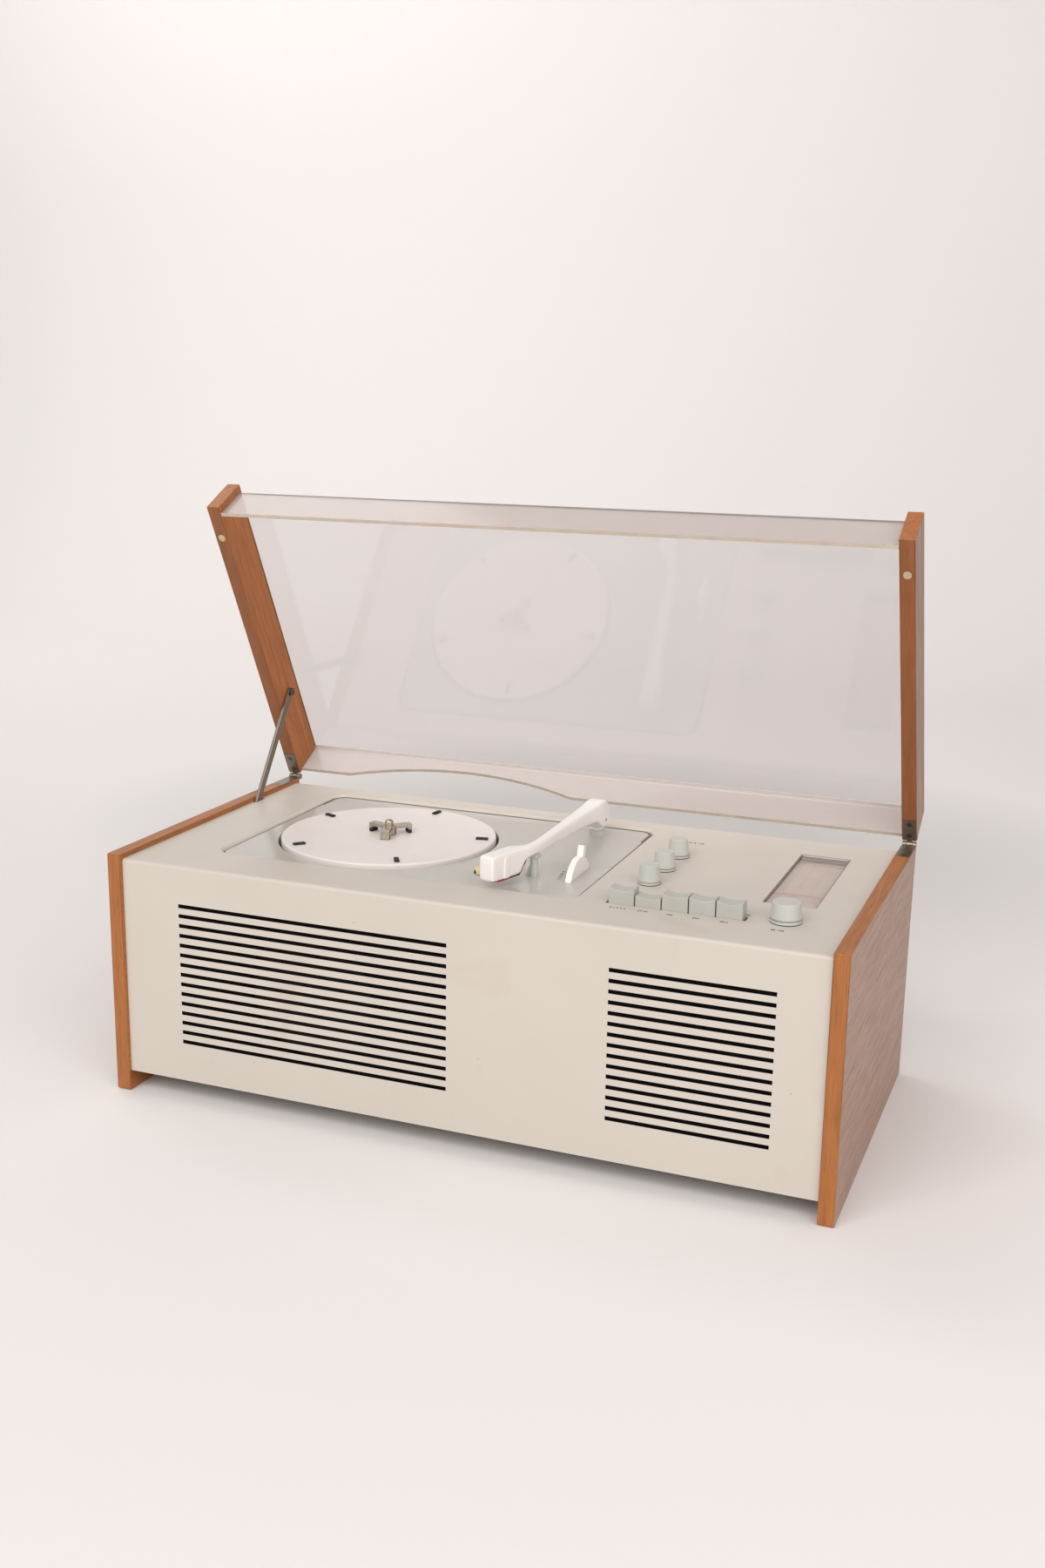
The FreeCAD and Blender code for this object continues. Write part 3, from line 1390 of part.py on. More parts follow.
def tuning():
    length = "Place.body_top - Place.capacitor_top + Size.tuning_shaft_depth"
    piece = knob("tuning_turned", "Size.tuning_base_radius", "Size.tuning_top_radius", "Size.tuning_height",
                 "Size.tuning_flange", "Size.tuning_groove", length)
    node("tuning_knob", put(piece, "Place.tuning_x", "Place.tuning_y", "Place.body_top"))
    left = "Place.tuning_x - Size.capacitor_width / 2"
    front = "Place.tuning_y - Size.capacitor_front_reach"
    can = block("capacitor_can", (left, front, "Place.chassis_top"),
                (f"{left} + Size.capacitor_width", f"{front} + Size.capacitor_depth",
                 "Place.capacitor_top"))
    bore = rod("capacitor_bore", ("Place.tuning_x", "Place.tuning_y",
                                  "Place.capacitor_top - Size.tuning_shaft_depth - Size.knob_gap"),
               "Size.knob_shaft_radius + Size.running_clearance",
               "Size.tuning_shaft_depth + Size.knob_gap + Size.cut_margin")
    node("tuning_capacitor", cut("bored_capacitor", can, bore))


small_knobs()
tuning()


# Dial: tray with the scale, pane and pointer
def dial_box(name, spread, low, high):
    return block(name, (f"Place.window_left - ({spread})", f"Place.window_front - ({spread})", low),
                 (f"Place.window_right + ({spread})", f"Place.window_rear + ({spread})", high))


def dial():
    outer = dial_box("dial_tray", "Size.pane_lip + Size.dial_wall", "Place.dial_low", "Place.sheet_under")
    mouth = dial_box("dial_mouth", "0", "Place.pane_low", "Place.sheet_under + Size.cut_margin")
    space = dial_box("dial_space", "Size.pane_lip", "Place.scale_top", "Place.pane_top")
    node("dial_scale", cut("hollow_tray", outer, mouth, space))
    node("dial_window", dial_box("pane", "Size.pane_lip", "Place.pane_low", "Place.pane_top"))
    left = "Place.window_left - Size.pane_lip + Size.pointer_gap"
    right = "Place.window_right + Size.pane_lip - Size.pointer_gap"
    half = "Size.pointer_width / 2"
    bar_low = "Place.scale_top + Size.pointer_gap + Size.pointer_width"
    bar_high = f"{bar_low} + Size.pointer_width"
    bar = block("pointer_bar", (left, f"Place.pointer_y - {half}", bar_low),
                (right, f"Place.pointer_y + {half}", bar_high))
    feet = []
    for low_x, high_x in ((left, f"{left} + Size.pointer_foot"), (f"{right} - Size.pointer_foot", right)):
        feet.append(block(f"pointer_foot{len(feet)}",
                          (low_x, "Place.pointer_y - Size.pointer_foot",
                           "Place.scale_top + Size.pointer_gap"),
                          (high_x, "Place.pointer_y + Size.pointer_foot", bar_high)))
    node("dial_pointer", join("pointer_solid", bar, *feet))


dial()


# Radio inside: chassis, valves and mains transformer
def radio():
    top = block("chassis_sheet",
                ("Place.chassis_left", "Place.chassis_front", "Place.chassis_top - Size.chassis_wall"),
                ("Place.chassis_right", "Place.chassis_rear", "Place.chassis_top"))
    walls = []
    for y_low, y_high in (("Place.chassis_front", "Place.chassis_front + Size.chassis_wall"),
                          ("Place.chassis_rear - Size.chassis_wall", "Place.chassis_rear")):
        walls.append(block(f"chassis_wall{len(walls)}", ("Place.chassis_left", y_low, "Place.base_high"),
                           ("Place.chassis_right", y_high, "Place.chassis_top")))
    node("radio_chassis", join("chassis_solid", top, *walls))
    valves = []
    for number in range(int(Size.valve_count)):
        x = f"Place.chassis_left + Size.valve_inset / 2 + {number % 2} * Size.valve_spacing"
        y = f"Place.front_y + Size.valve_front_inset + {number // 2} * Size.valve_spacing"
        bulb = turned(f"valve{number}", [
            ("0", "0"),
            ("Size.valve_radius", "0"),
            ("Size.valve_radius", "Size.valve_height * 0.8"),
            ("Size.valve_radius * 0.4", "Size.valve_height"),
            ("0", "Size.valve_height"),
        ])
        valves.append(put(bulb, x, y, "Place.chassis_top"))
    node("radio_valves", group("valves", valves))
    low_y = "Place.rear_y - Size.transformer_rear_inset - Size.transformer_depth"
    middle = f"{low_y} + Size.transformer_depth / 2"
    coil = block("transformer_coil", ("Place.transformer_left", low_y, "Place.base_high"),
                 ("Place.transformer_right", f"{low_y} + Size.transformer_depth",
                  "Place.base_high + Size.transformer_height * 0.8"))
    core = block("transformer_plates",
                 ("Place.transformer_left", f"{middle} - Size.transformer_core / 2", "Place.base_high"),
                 ("Place.transformer_right", f"{middle} + Size.transformer_core / 2",
                  "Place.base_high + Size.transformer_height"))
    node("mains_transformer", join("transformer_solid", coil, core))


radio()


# Rear connections
def rear_connections():
    half = "Place.socket_width / 2"
    panel = block("socket_board", (f"Place.socket_x - {half}",
                                   "Place.inside_rear - Size.socket_thickness",
                                   "Place.socket_low"),
                  (f"Place.socket_x + {half}", "Place.inside_rear",
                   "Place.socket_low + Size.socket_panel_height"))
    holes = []
    middle_z = "Place.socket_low + Size.socket_panel_height / 2"
    for number in range(int(Size.socket_pairs)):
        x = f"Place.socket_x + ({number} - (Size.socket_pairs - 1) / 2) * Place.socket_spacing"
        for side in (-1, 1):
            holes.append(rod(f"socket{len(holes)}",
                             (x, "Place.inside_rear - Size.socket_thickness - Size.cut_margin",
                              f"{middle_z} + {side} * Place.socket_spacing / 3"),
                             "Size.socket_radius", "Size.socket_thickness + 2 * Size.cut_margin", "y"))
    node("rear_socket_panel", cut("pierced_board", panel, *holes))
    half = "Size.inlet_width / 2"
    wall = "Size.inlet_wall"
    outer = block("inlet_case",
                  (f"Place.socket_x - {half}", "Place.inside_rear - Size.inlet_depth", "Place.inlet_low"),
                  (f"Place.socket_x + {half}", "Place.inside_rear", "Place.inlet_low + Size.inlet_height"))
    hollow = block("inlet_hollow",
                   (f"Place.socket_x - {half} + {wall}", f"Place.inside_rear - Size.inlet_depth + {wall}",
                    f"Place.inlet_low + {wall}"),
                   (f"Place.socket_x + {half} - {wall}", "Place.inside_rear + Size.cut_margin",
                    f"Place.inlet_low + Size.inlet_height - {wall}"))
    pins = []
    for side in (-1, 1):
        pins.append(rod(f"inlet_pin{len(pins)}",
                        (f"Place.socket_x + {side} * Size.inlet_pin_spacing / 2",
                         f"Place.inside_rear - Size.inlet_depth + {wall} / 2",
                         "Place.inlet_low + Size.inlet_height / 2"),
                        "Size.inlet_pin_radius", f"Size.inlet_depth - 2 * {wall}", "y"))
    node("mains_inlet", join("inlet_solid", cut("inlet_shell", outer, hollow), *pins))


rear_connections()


# Hinges: two fixed leaves on the panels, two moving leaves on the cheeks, and their pins
def knuckle_spans(side):
    """Low X and length of the two outer knuckles and of the middle one."""
    low = leaf_span(side)[0]
    inner = "Size.leaf_width - 2 * Size.knuckle_length - 2 * Size.knuckle_gap"
    outer = [(low, "Size.knuckle_length"), (f"{low} + Size.leaf_width - Size.knuckle_length",
                                            "Size.knuckle_length")]
    middle = [(f"{low} + Size.knuckle_length + Size.knuckle_gap", inner)]
    return outer, middle


def leaf(label, side, spans, length, low_z, y_rear, axis_y, axis_z):
    """A leaf with its knuckles: a plate in front of y_rear, strapped to the hinge axis behind it."""
    left, right = leaf_span(side)
    high_z = f"{low_z} + Size.leaf_thickness"
    pieces = [block(label + "_plate", (left, f"{y_rear} - Size.{length}", low_z), (right, y_rear, high_z))]
    for number, (start, span) in enumerate(spans):
        pieces.append(block(f"{label}_strap{number}", (start, f"{y_rear} - Size.leaf_thickness", low_z),
                            (f"{start} + {span}", axis_y, high_z)))
        pieces.append(rod(f"{label}_knuckle{number}", (start, axis_y, axis_z), "Size.knuckle_radius",
                          span, "x"))
    bore = rod(label + "_bore", (f"{left} - Size.cut_margin", axis_y, axis_z),
               "Size.hinge_pin_radius + Size.running_clearance", "Size.leaf_width + 2 * Size.cut_margin", "x")
    middle = f"({left} + {right}) / 2"
    holes = [rod(f"{label}_hole{number}", (middle, f"{y_rear} - ({inset})", f"{low_z} - Size.cut_margin"),
                 "Size.leaf_screw_head + Size.screw_clearance", "Size.leaf_thickness + 2 * Size.cut_margin")
             for number, inset in enumerate(leaf_screw_places(length))]
    return cut(label + "_cut", join(label + "_solid", *pieces), bore, *holes)


def hinges():
    pins = []
    for name, side in (("left", -1), ("right", 1)):
        outer, middle = knuckle_spans(side)
        node(f"{name}_fixed_leaf", leaf(f"{name}_fixed", side, outer, "fixed_leaf_length",
                                        "Place.panel_height - Size.leaf_thickness", "Place.rear_y",
                                        "Place.hinge_y", "Place.hinge_z"))
        moving = leaf(f"{name}_moving", side, middle, "moving_leaf_length", "Place.cheek_low",
                      "Place.cover_rear", "0", "0")
        node(f"{name}_moving_leaf", hang_on_lid(moving))
        pins.append(rod(f"{name}_pin", (leaf_span(side)[0], "Place.hinge_y", "Place.hinge_z"),
                        "Size.hinge_pin_radius", "Size.leaf_width", "x"))
    node("hinge_pins", group("pins", pins))


hinges()


# Screws: a head and a shank each
def screw(name, at, head_radius, head_height, shank_radius, shank_length, way):
    """A screw whose head starts at a point and whose shank runs on from it: up, down, left or right."""
    x, y, z = at
    axis = "z" if way in ("up", "down") else "x"
    forward = way in ("up", "right")
    head_start = "0" if forward else f"-({head_height})"
    shank_start = head_height if forward else f"-({head_height}) - ({shank_length})"

    def place(offset):
        return (x, y, f"{z} + ({offset})") if axis == "z" else (f"{x} + ({offset})", y, z)

    return join(name, rod(name + "_head", place(head_start), head_radius, head_height, axis),
                rod(name + "_shank", place(shank_start), shank_radius, shank_length, axis))


def leaf_screw(name, at, way):
    return screw(name, at, "Size.leaf_screw_head", "Size.leaf_thickness", "Size.leaf_screw_radius",
                 "Size.leaf_screw_length", way)


def fasteners():
    fixed = []
    moving = []
    for side in (-1, 1):
        middle = f"{side} * (Place.side_x + Place.inner_x) / 2"
        for inset in leaf_screw_places("fixed_leaf_length"):
            fixed.append(leaf_screw(f"fixed_leaf_screw{len(fixed)}",
                                    (middle, f"Place.rear_y - ({inset})", "Place.panel_height"), "down"))
        for inset in leaf_screw_places("moving_leaf_length"):
            moving.append(leaf_screw(f"moving_leaf_screw{len(moving)}",
                                     (middle, f"Place.cover_rear - ({inset})", "Place.cheek_low"), "up"))
        for place in base_screw_places():
            start = f"{side} * (Place.inner_x - Size.base_thickness - Size.base_screw_head_height)"
            fixed.append(screw(f"base_screw{len(fixed)}", (start, place, base_screw_z()),
                               "Size.base_screw_head",
                               "Size.base_screw_head_height", "Size.base_screw_radius",
                               "Size.base_screw_length + Size.base_thickness - Size.screw_clearance",
                               "right" if side > 0 else "left"))
    moving.append(screw("stay_screw",
                        ("Place.stay_out + Size.stay_screw_head_height + Size.running_clearance",
                                       "-Size.stay_pivot_reach", "Size.stay_pivot_rise"),
                        "Size.stay_screw_head", "Size.stay_screw_head_height", "Size.stay_screw_radius",
                        "Place.stay_out + Place.inner_x + Size.stay_screw_length", "left"))
    node("cabinet_screws", group("fixed_screws", fixed))
    node("lid_screws", hang_on_lid(group("moving_screws", moving)))


fasteners()


# Lid: two cheeks, the clear cover, buffers and the stay
def lid_cheek(label, side):
    low_x, high_x = ("Place.inner_x", "Place.side_x") if side > 0 else ("-Place.side_x", "-Place.inner_x")
    front = "-(Size.hinge_gap + Place.panel_depth)"
    board = block(label + "_board", (low_x, front, "Place.cheek_low"),
                  (high_x, "Place.cover_rear", "Place.cheek_high"))
    soft = rounded(label + "_soft", board, "Size.wood_edge_radius", long_edge)
    left, right = leaf_span(side)
    tools = [block(label + "_bed", (left, "Place.cover_rear - Size.moving_leaf_length",
                                    "Place.cheek_low - Size.cut_margin"),
                   (right, "Place.cover_rear + Size.cut_margin", "Place.cheek_low + Size.leaf_thickness"))]
    middle = f"({left} + {right}) / 2"
    for number, inset in enumerate(leaf_screw_places("moving_leaf_length")):
        tools.append(rod(f"{label}_hole{number}", (middle, f"Place.cover_rear - ({inset})",
                                                   "Place.cheek_low"),
                         "Size.leaf_screw_radius + Size.screw_clearance",
                         "Size.leaf_thickness + Size.leaf_screw_length"))
    tools.append(rod(label + "_buffer_hole", (middle, f"{front} + Size.buffer_inset", "0"),
                     "Size.buffer_radius",
                     "Place.cheek_low + Size.buffer_depth"))
    if side < 0:
        tools.append(rod(label + "_stay_hole", ("-Place.inner_x - Size.stay_screw_length",
                                                "-Size.stay_pivot_reach", "Size.stay_pivot_rise"),
                         "Size.stay_screw_radius + Size.screw_clearance",
                         "Size.stay_screw_length + Size.cut_margin", "x"))
    return node(label, hang_on_lid(cut(label + "_cut", soft, *tools)))


COVER = [
    ("Place.cover_front", "Place.cheek_low + Size.front_lip_gap"),
    ("Place.cover_front", "Place.cheek_high"),
    ("Place.cover_rear", "Place.cheek_high"),
    ("Place.cover_rear", "Place.rear_lip_low"),
    ("Place.cover_rear - Size.cover_thickness", "Place.rear_lip_low"),
    ("Place.cover_rear - Size.cover_thickness", "Place.cover_in"),
    ("Place.cover_front + Size.cover_thickness", "Place.cover_in"),
    ("Place.cover_front + Size.cover_thickness", "Place.cheek_low + Size.front_lip_gap"),
]


def lid_cover():
    sheet = folded_sheet("cover_fold", COVER, "-Place.inner_x", "2 * Place.inner_x",
                         "Size.cover_bend_radius", "Size.cover_thickness")
    arc = rod("cover_arc", ("Place.platter_x", "Place.cover_rear - Size.cover_thickness - Size.cut_margin",
                            "Place.rear_lip_low + Size.cutout_height - Place.cutout_radius"),
              "Place.cutout_radius", "Size.cover_thickness + 2 * Size.cut_margin", "y")
    return node("lid_cover", hang_on_lid(cut("arched_cover", sheet, arc)))


def lid_buffers():
    front = "-(Size.hinge_gap + Place.panel_depth)"
    pieces = []
    for side in (-1, 1):
        middle = f"{side} * (Place.side_x + Place.inner_x) / 2"
        pieces.append(rod(f"buffer{len(pieces)}", (middle, f"{front} + Size.buffer_inset", "0"),
                          "Size.buffer_radius", "Place.cheek_low + Size.buffer_depth"))
    return node("lid_buffers", hang_on_lid(group("buffers", pieces)))


def lid_stay():
    half = "Size.stay_width / 2"
    bar = block("stay_bar", ("Place.stay_in", f"-{half}", "-Size.stay_length"), ("Place.stay_out", half,
                                                                                 "0"))
    eye = rod("stay_eye", ("Place.stay_in", "0", "0"), half, "Size.stay_thickness", "x")
    hole = rod("stay_hole", ("Place.stay_in - Size.cut_margin", "0", "0"),
               "Size.stay_screw_radius + Size.running_clearance",
               "Size.stay_thickness + 2 * Size.cut_margin", "x")
    item = cut("drilled_stay", join("stay_solid", bar, eye), hole)
    put(item, "0", "Place.stay_y", "Place.stay_z")
    return node("lid_stay", turn(item, TURN_ABOUT_X, "-Place.stay_lean"))


lid_cheek("left_lid_cheek", -1)
lid_cheek("right_lid_cheek", 1)
lid_cover()
lid_buffers()
lid_stay()

# Build, test and write each sub-part
doc.recompute()
failed = [item.Name for item in doc.Objects if {"Invalid", "Error"} & set(item.State)]
if failed:
    raise RuntimeError("objects that failed: " + ", ".join(failed))
for label, item in NODES.items():
    if item.Shape.isNull() or not item.Shape.isValid():
        raise RuntimeError("bad shape: " + label)
os.makedirs("parts", exist_ok=True)
for label, item in NODES.items():
    item.Shape.exportStep(os.path.join("parts", label + ".step"))
    print(label, len(item.Shape.Solids), round(item.Shape.Volume))
print(len(NODES), "sub-parts")
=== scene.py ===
# %% [markdown]
# This lesson dresses a radio record player that was first built as a CAD model.
# The CAD model arrives as a fixed frame: every piece already sits where it belongs, in metres.
# The cells below add a camera, light, finishes and the finer pieces that the eye looks for.

# %% Load the frame
import json
import math
import bmesh
import bpy
from mathutils import Matrix, Vector
from mathutils.bvhtree import BVHTree


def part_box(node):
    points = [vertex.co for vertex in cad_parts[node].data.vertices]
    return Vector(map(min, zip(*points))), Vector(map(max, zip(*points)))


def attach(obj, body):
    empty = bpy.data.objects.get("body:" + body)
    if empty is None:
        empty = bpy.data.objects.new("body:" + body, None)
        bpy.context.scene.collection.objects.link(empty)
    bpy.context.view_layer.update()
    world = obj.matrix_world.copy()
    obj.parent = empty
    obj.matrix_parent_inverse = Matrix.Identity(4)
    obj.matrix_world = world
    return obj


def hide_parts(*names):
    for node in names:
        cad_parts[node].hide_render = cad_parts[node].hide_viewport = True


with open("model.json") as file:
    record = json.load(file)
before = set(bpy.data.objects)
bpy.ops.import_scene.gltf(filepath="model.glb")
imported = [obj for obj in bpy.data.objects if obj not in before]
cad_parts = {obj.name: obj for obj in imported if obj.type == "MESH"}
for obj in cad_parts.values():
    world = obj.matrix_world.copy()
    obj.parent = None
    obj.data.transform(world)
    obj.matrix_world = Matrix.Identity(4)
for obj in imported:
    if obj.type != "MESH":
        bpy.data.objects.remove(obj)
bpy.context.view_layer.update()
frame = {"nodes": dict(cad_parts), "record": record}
scene = bpy.context.scene
print("nodes in the frame:", len(frame["nodes"]))

# %% [markdown]
# The camera stands to the right of the player and a little above it, as the photographer did.
# Its direction is written as a turn, a rise and a small roll, which is easier to read than a matrix.
# The three axes of the camera are then worked out from those angles.

# %% Camera
CAMERA_PLACE = (0.457163, -1.187785, 0.558855)
FOCAL_LENGTH, SENSOR_WIDTH, NEAREST = 37.398, 36, 0.01
turn, rise, roll = (math.radians(angle) for angle in (21.286, 13.676, 0.880))
back = Vector((math.sin(turn) * math.cos(rise), -math.cos(turn) * math.cos(rise), math.sin(rise)))
right = Vector((math.cos(turn), math.sin(turn), 0))
up = back.cross(right)
across = right * math.cos(roll) + up * math.sin(roll)
upward = up * math.cos(roll) - right * math.sin(roll)
lens = bpy.data.cameras.new("photo_camera")
lens.lens = FOCAL_LENGTH
lens.sensor_width = SENSOR_WIDTH
lens.clip_start = NEAREST
camera = bpy.data.objects.new("photo_camera", lens)
scene.collection.objects.link(camera)
camera.matrix_world = (Matrix.Translation(CAMERA_PLACE)
                       @ Matrix((across, upward, back)).transposed().to_4x4())
scene.camera = camera
scene.view_settings.view_transform = "Standard"
print("camera at", tuple(round(v, 3) for v in camera.location))

# %% [markdown]
# A studio photograph of this kind is lit by large soft lamps in a pale room.
# The world gives the even light of the room, and looks brighter in reflections.
# Two big area lamps stand in front, to the left and right of the camera, so that shadows fall softly
# behind the player. A third lamp brightens the paper at the back, more on the left than on the right,
# and a small one at the far right lifts the shadow there.
# Their strengths are balanced so that a white card on the floor comes out white, not brighter.

# %% Light
MM = 0.001
ROOM_LIGHT, ROOM_GLOSS = 0.32, 0.62


def tint(red, green, blue):
    """A colour read off a screen, as the linear colour that shaders use."""
    return tuple(v / 12.92 if v <= 0.04045 else ((v + 0.055) / 1.055) ** 2.4
                 for v in (red / 255, green / 255, blue / 255)) + (1.0,)


def lamp(name, place, aim, size, power, colour):
    """A square area lamp that looks at a point."""
    light = bpy.data.lights.new(name, "AREA")
    light.size = size
    light.energy = power
    light.color = colour[:3]
    item = bpy.data.objects.new(name, light)
    item.location = place
    item.rotation_mode = "QUATERNION"
    item.rotation_quaternion = (Vector(aim) - Vector(place)).to_track_quat("-Z", "Y")
    scene.collection.objects.link(item)


studio = bpy.data.worlds.new("studio")
studio.use_nodes = True
room = studio.node_tree.nodes["Background"]
room.inputs["Color"].default_value = tint(255, 253, 251)
ray = studio.node_tree.nodes.new("ShaderNodeLightPath")
level = studio.node_tree.nodes.new("ShaderNodeMapRange")
level.inputs["To Min"].default_value = ROOM_LIGHT
level.inputs["To Max"].default_value = ROOM_GLOSS
studio.node_tree.links.new(ray.outputs["Is Glossy Ray"], level.inputs["Value"])
studio.node_tree.links.new(level.outputs["Result"], room.inputs["Strength"])
scene.world = studio
lamp("key_lamp", (-0.6, -2.7, 2.3), (0, 0, 0.1), 2.4, 62, tint(255, 251, 248))
lamp("fill_lamp", (2.0, -2.0, 1.9), (0.1, 0, 0.1), 2.2, 38, tint(255, 250, 248))
lamp("wall_lamp", (-2.1, 1.3, 2.6), (-1.3, 3.0, 1.0), 2.2, 33, tint(255, 252, 250))
lamp("side_lamp", (2.5, -0.4, 0.8), (0.4, 0, 0.05), 1.2, 6, tint(255, 250, 247))

# %% [markdown]
# The background is one long sheet of paper that runs under the player and curves up behind it.
# It is a strip of quads: flat first, then a quarter circle, then straight up.
# Because it is one smooth sheet there is no line where the floor ends.

# %% Paper background
def mesh_piece(name, shape):
    """Turns a finished bmesh into an object of the scene."""
    mesh = bpy.data.meshes.new(name)
    shape.to_mesh(mesh)
    shape.free()
    piece = bpy.data.objects.new(name, mesh)
    scene.collection.objects.link(piece)
    return piece


def paper_sweep():
    """A strip of paper: flat, then a quarter circle, then upright."""
    front, bend, radius, top, half, steps = -3.5, 1.9, 1.1, 4.0, 4.5, 16
    line = [(front, 0), (bend, 0)]
    for step in range(1, steps + 1):
        angle = math.radians(90 * step / steps)
        line.append((bend + radius * math.sin(angle), radius - radius * math.cos(angle)))
    line.append((bend + radius, top))
    shape = bmesh.new()
    rows = [[shape.verts.new((x, y, z)) for x in (-half, half)] for y, z in line]
    for low, high in zip(rows, rows[1:]):
        shape.faces.new((low[0], low[1], high[1], high[0])).smooth = True
    return mesh_piece("paper", shape)


paper = paper_sweep()
print("paper faces:", len(paper.data.polygons))

# %% [markdown]
# Every finish here is procedural: noise textures make the small differences that a real surface has.
# Each helper adds one step to a material, so that a finish reads as a short list of steps.
# Object coordinates are used throughout. They are metres in the player's own frame, so a noise
# scale of 100 gives marks of about a centimetre on every piece.

# %% Finish helpers
def new_finish(name):
    """A material with only a Principled shader in it."""
    material = bpy.data.materials.new(name)
    material.use_nodes = True
    return material, material.node_tree, material.node_tree.nodes["Principled BSDF"]


def noise(tree, scale, detail, stretch=(1, 1, 1), lean=0.0, warp=0.0):
    """Noise in object coordinates, drawn out along an axis and leaned about X."""
    place = tree.nodes.new("ShaderNodeTexCoord")
    mapping = tree.nodes.new("ShaderNodeMapping")
    mapping.vector_type = "TEXTURE"
    mapping.inputs["Rotation"].default_value = (lean, 0, 0)
    mapping.inputs["Scale"].default_value = stretch
    texture = tree.nodes.new("ShaderNodeTexNoise")
    texture.inputs["Scale"].default_value = scale
    texture.inputs["Detail"].default_value = detail
    texture.inputs["Distortion"].default_value = warp
    tree.links.new(place.outputs["Object"], mapping.inputs["Vector"])
    tree.links.new(mapping.outputs["Vector"], texture.inputs["Vector"])
    return texture.outputs[0]


def spread(tree, value, low, high, to_low, to_high):
    """Maps one range of a value onto another, and stops at the ends."""
    step = tree.nodes.new("ShaderNodeMapRange")
    for socket, number in zip(step.inputs[1:5], (low, high, to_low, to_high)):
        socket.default_value = number
    tree.links.new(value, step.inputs[0])
    return step.outputs[0]


def mixed(tree, amount, first, second):
    """Blends two colours, each a plain colour or another node's output."""
    step = tree.nodes.new("ShaderNodeMix")
    step.data_type = "RGBA"
    tree.links.new(amount, step.inputs[0])
    for socket, colour in ((step.inputs[6], first), (step.inputs[7], second)):
        if isinstance(colour, tuple):
            socket.default_value = colour
        else:
            tree.links.new(colour, socket)
    return step.outputs[2]


def dented(tree, shader, height, strength, depth=0.0002):
    """Turns a height into small bumps."""
    step = tree.nodes.new("ShaderNodeBump")
    step.inputs["Strength"].default_value = strength
    step.inputs["Distance"].default_value = depth
    tree.links.new(height, step.inputs["Height"])
    tree.links.new(step.outputs["Normal"], shader.inputs["Normal"])


def shade(colour, factor):
    """The same colour, lighter or darker."""
    return tuple(min(1.0, v * factor) for v in colour[:3]) + (1.0,)


print("finish helpers ready")

# %% [markdown]
# Most pieces of the player are moulded plastic, paint, rubber or plain metal.
# One function covers them: a base colour with soft patches, a roughness that wanders, fine grit in
# the surface, and optional sparse marks for chips and dirt.
# What differs between the materials is only the numbers. After the colour they are the roughness, the
# scale and strength of the patches, and the scale and strength of the grit. A mark is its colour, its
# scale, the noise at which it starts and is full, and its strength. Paint and plastic come first.

# %% Paint and plastic
FINISHES = {}
NOISE_LOW, NOISE_HIGH = 0.3, 0.7
SMOOTHER, ROUGHER, WANDER_FINER = 0.82, 1.18, 3
PATCH_DETAIL, SPOT_DETAIL, WANDER_DETAIL, GRIT_DETAIL, SPOT_WARP = 5, 3, 3, 2, 0.6


def plain_finish(name, colour, rough, patch, patchy, grit, bump, metal=0.0, marks=()):
    """Paint, plastic, rubber or metal: patches, wandering roughness, fine grit and sparse marks."""
    material, tree, shader = new_finish(name)
    patches = spread(tree, noise(tree, patch, PATCH_DETAIL), NOISE_LOW, NOISE_HIGH, 0, 1)
    base = mixed(tree, patches, shade(colour, 1 - patchy), shade(colour, 1 + patchy))
    for mark, scale, start, end, amount in marks:
        spots = spread(tree, noise(tree, scale, SPOT_DETAIL, warp=SPOT_WARP), start, end, 0, amount)
        base = mixed(tree, spots, base, mark)
    tree.links.new(base, shader.inputs["Base Color"])
    wander = spread(tree, noise(tree, patch * WANDER_FINER, WANDER_DETAIL), NOISE_LOW, NOISE_HIGH,
                    rough * SMOOTHER, min(1.0, rough * ROUGHER))
    tree.links.new(wander, shader.inputs["Roughness"])
    shader.inputs["Metallic"].default_value = metal
    dented(tree, shader, noise(tree, grit, GRIT_DETAIL), bump)
    FINISHES[name] = material


STAIN = tint(190, 168, 146)
CHIP = tint(120, 96, 72)
SOOT = tint(70, 62, 56)
GRIME = tint(150, 145, 130)
plain_finish("painted_steel", tint(209, 201, 191), 0.42, 7, 0.022, 700, 0.05,
             marks=((STAIN, 11, 0.64, 0.80, 0.35), (CHIP, 190, 0.765, 0.785, 0.75),
                    (SOOT, 420, 0.785, 0.82, 0.6)))
plain_finish("deck_paint", tint(193, 190, 183), 0.16, 12, 0.02, 900, 0.015,
             marks=((tint(180, 177, 168), 25, 0.62, 0.8, 0.35), (SOOT, 420, 0.80, 0.84, 0.4)))
plain_finish("white_plastic", tint(248, 244, 240), 0.36, 30, 0.02, 1200, 0.03,
             marks=((tint(205, 190, 165), 70, 0.68, 0.8, 0.35),))
plain_finish("platter_white", tint(234, 228, 223), 0.40, 18, 0.02, 1000, 0.03,
             marks=((tint(205, 190, 170), 40, 0.66, 0.8, 0.30), (SOOT, 380, 0.79, 0.83, 0.4)))
plain_finish("key_plastic", tint(187, 188, 180), 0.42, 60, 0.03, 1600, 0.04,
             marks=((GRIME, 160, 0.70, 0.80, 0.45),))
plain_finish("grey_plastic", tint(198, 200, 193), 0.40, 60, 0.03, 1600, 0.04,
             marks=((GRIME, 160, 0.70, 0.80, 0.45),))
plain_finish("rest_plastic", tint(196, 202, 193), 0.30, 60, 0.03, 1200, 0.03)
# A dark grey for the painted shade at the edges of the dial window.
plain_finish("dial_edge_shade", tint(112, 105, 98), 0.7, 60, 0.08, 1400, 0.05)
plain_finish("dial_paint", tint(166, 154, 142), 0.6, 30, 0.03, 1400, 0.05)
plain_finish("pointer_red", tint(164, 96, 80), 0.45, 90, 0.06, 1500, 0.04)
